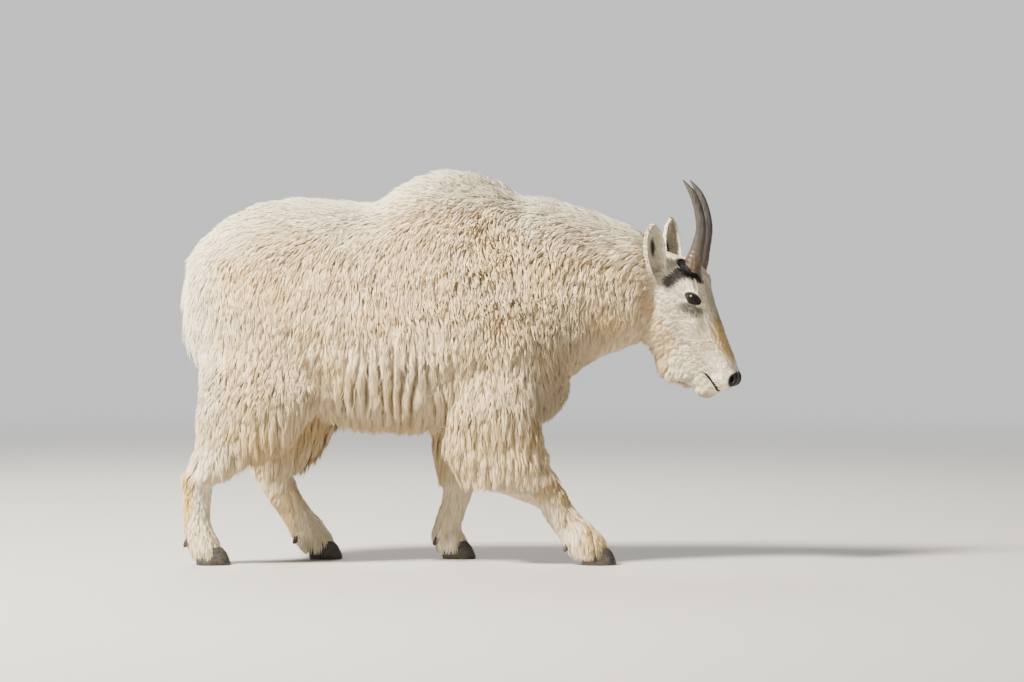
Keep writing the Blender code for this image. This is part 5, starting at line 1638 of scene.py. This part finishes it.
# %% [markdown]
# Hair is soft to light: a clump is shaded as one rounded form, not as many hard blades. So each
# corner gets its own normal, mixed from the skin's, the clump's roundness and the blade's side,
# and laid nearly square to the hair, so that hanging locks catch the light as well. Short hair
# takes less of the skin's normal, or it would look as smooth as plaster.

# %% Tufts into a mesh
SHADE_SKIN = ((0.008, 0.62), (0.016, 0.52), (0.040, 0.70))
SHADE_CLUMP = 0.42
SHADE_BLADE = 0.34
SHADE_LEVEL = 0.80
SHADE_GROOVE = 0.55
GROOVE_PAINTED_SHADE = 1.15
clump_way = unit(free_tips - free_tips[middles][clump] + normals * (sizes[:, 3:4] * 0.45))


def tuft_corners(chosen, path, slopes):
    """Every tuft's corners, and the normals that its top and its underside are shaded with."""
    rings = path.shape[1] - 1
    out = normals[chosen]
    share = np.interp(sizes[chosen, 0], *np.array(SHADE_SKIN).T)
    soft = out * share[:, None] + clump_way[chosen] * SHADE_CLUMP
    along = np.gradient(path, axis=1)
    profile = np.interp(np.linspace(0.0, 1.0, rings + 1), np.linspace(0.0, 1.0, 5), WIDTH_ALONG)
    places, shades, unders = [], [], []
    for k in range(rings):
        tangent = unit(along[:, k])
        side = unit(np.cross(tangent, out))
        top = unit(np.cross(side, tangent))
        half = width[chosen][:, None] * profile[k] / 2
        level = soft - tangent * ((soft * tangent).sum(1)[:, None] * SHADE_LEVEL) + slopes[:, k] * SHADE_GROOVE
        for across, above in ((1.0, -0.25), (-1.0, -0.25), (0.0, 0.65)):
            way = side * across + top * above
            places.append(path[:, k] + way * half)
            shades.append(unit(level + unit(way) * SHADE_BLADE))
            unders.append(unit(unit(way) - level * 0.7))
    places.append(path[:, rings])
    shades.append(unit(level))
    unders.append(unit(-level))
    return np.stack(places, 1), np.stack(shades, 1), np.stack(unders, 1)


def write_tufts(name, chosen, rings, material):
    """One piece of coat from the chosen tufts."""
    path, depths, slopes = tuft_paths(chosen, rings)
    corners, shades, unders = tuft_corners(chosen, path, slopes)
    n, per = corners.shape[:2]
    faces, under = tuft_faces(rings)
    numbers = (faces[None] + (np.arange(n) * per)[:, None, None]).reshape(-1)
    made = bpy.data.meshes.new(name)
    made.vertices.add(n * per)
    made.vertices.foreach_set("co", corners.astype(np.float32).ravel())
    made.loops.add(len(numbers))
    made.loops.foreach_set("vertex_index", numbers.astype(np.int32))
    made.polygons.add(len(numbers) // 3)
    made.polygons.foreach_set("loop_start", np.arange(0, len(numbers), 3, dtype=np.int32))
    made.update(calc_edges=True)
    step = np.append(np.repeat(np.arange(rings), 3) / rings, 1.0)
    sideways = np.append(np.tile((-1.0, 1.0, 0.0), rings), 0.0)
    flat = unrolled(roots[chosen])
    low, high = flat.min(0), flat.max(0)
    flat = 0.01 + 0.98 * (flat - low) / (high - low)
    patch = np.stack((sideways, 2 * step - 1), 1) * PATCH / 2
    uv = (flat[:, None] + patch[None]).reshape(-1, 2)
    layer = made.uv_layers.new(name="OFBake")
    layer.data.foreach_set("uv", uv[numbers].astype(np.float32).ravel())
    set_colour(made, "marks_and_shade", np.repeat(root_marks_and_shade[chosen], per, axis=0))
    low_down = 1.0 - smoothstep(0.34, 0.50, roots[chosen, 2])
    deep = np.repeat(depths, [3] * rings + [1], axis=1)
    # Painted shade: tufts are darker where they lie deep in a groove of the wool.
    shade = tone[chosen][:, None] * np.clip(1.0 - GROOVE_PAINTED_SHADE * deep / lift[chosen][:, None], 0.0, 1.0)
    tuft = (shade.ravel(), np.tile(step, n), np.repeat(low_down, per), np.ones(n * per))
    set_colour(made, "tuft", np.stack(tuft, 1))
    made.shade_smooth()
    below = np.repeat(np.tile(under, n), 3)[:, None]
    soft = np.where(below, unders.reshape(-1, 3)[numbers], shades.reshape(-1, 3)[numbers])
    made.normals_split_custom_set(soft.tolist())
    made.materials.append(material)
    piece = bpy.data.objects.new(name, made)
    bpy.context.scene.collection.objects.link(piece)
    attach(piece, "root")
    print(name, n, "tufts,", len(numbers) // 3, "triangles")
    return piece


root_marks_and_shade = markings_and_painted_shade(roots, normals)
tone = rng.normal(0.55, 0.25, count) * 0.45 + rng.uniform(0.1, 0.9, len(middles))[clump] * 0.55
tone = np.clip(tone, 0.0, 1.0)
print("tones:", round(float(tone.mean()), 2))

# %% [markdown]
# The coat is written in pieces, each under two hundred thousand triangles. Long wool has more rings
# to a tuft, so that its waves are smooth, and the short hair of face and shins has fewer.

# %% Coat pieces
PIECE_LIMIT = 195000
LONG_TUFT = 0.060


def grow(name, chosen, rings, material):
    """Writes the chosen tufts in as many equal pieces as the limit asks."""
    places = np.flatnonzero(chosen)
    pieces = math.ceil(len(places) * len(tuft_faces(rings)[0]) / PIECE_LIMIT)
    order = places[np.argsort(roots[places, 0])]
    return [
        write_tufts(f"{name}_{k + 1}" if pieces > 1 else name, part, rings, material)
        for k, part in enumerate(np.array_split(order, pieces))
    ]


is_head = on_head_share(place) > 0.5
is_shin = (place[:, 2] < 0.235) & ~is_head
is_long = (sizes[:, 0] > LONG_TUFT) & ~is_head & ~is_shin
is_wool = ~is_head & ~is_shin & ~is_long
coat = []
coat += grow("coat_head", is_head, 2, SHORT_HAIR)
coat += grow("coat_shins", is_shin, 2, SHORT_HAIR)
coat += grow("coat_wool", is_wool, 2, WOOL)
coat += grow("coat_locks", is_long, 3, WOOL)
print("coat triangles:", sum(len(piece.data.polygons) for piece in coat))

# %% [markdown]
# Last, the skin rides on the body and stands for the solids of flesh.

# %% Hand over
FLESH = [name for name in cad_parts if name.split("_")[0] in ("head", "neck", "torso", "tail", "upper", "lower", "ear")]
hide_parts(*FLESH)
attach(skin, "root")
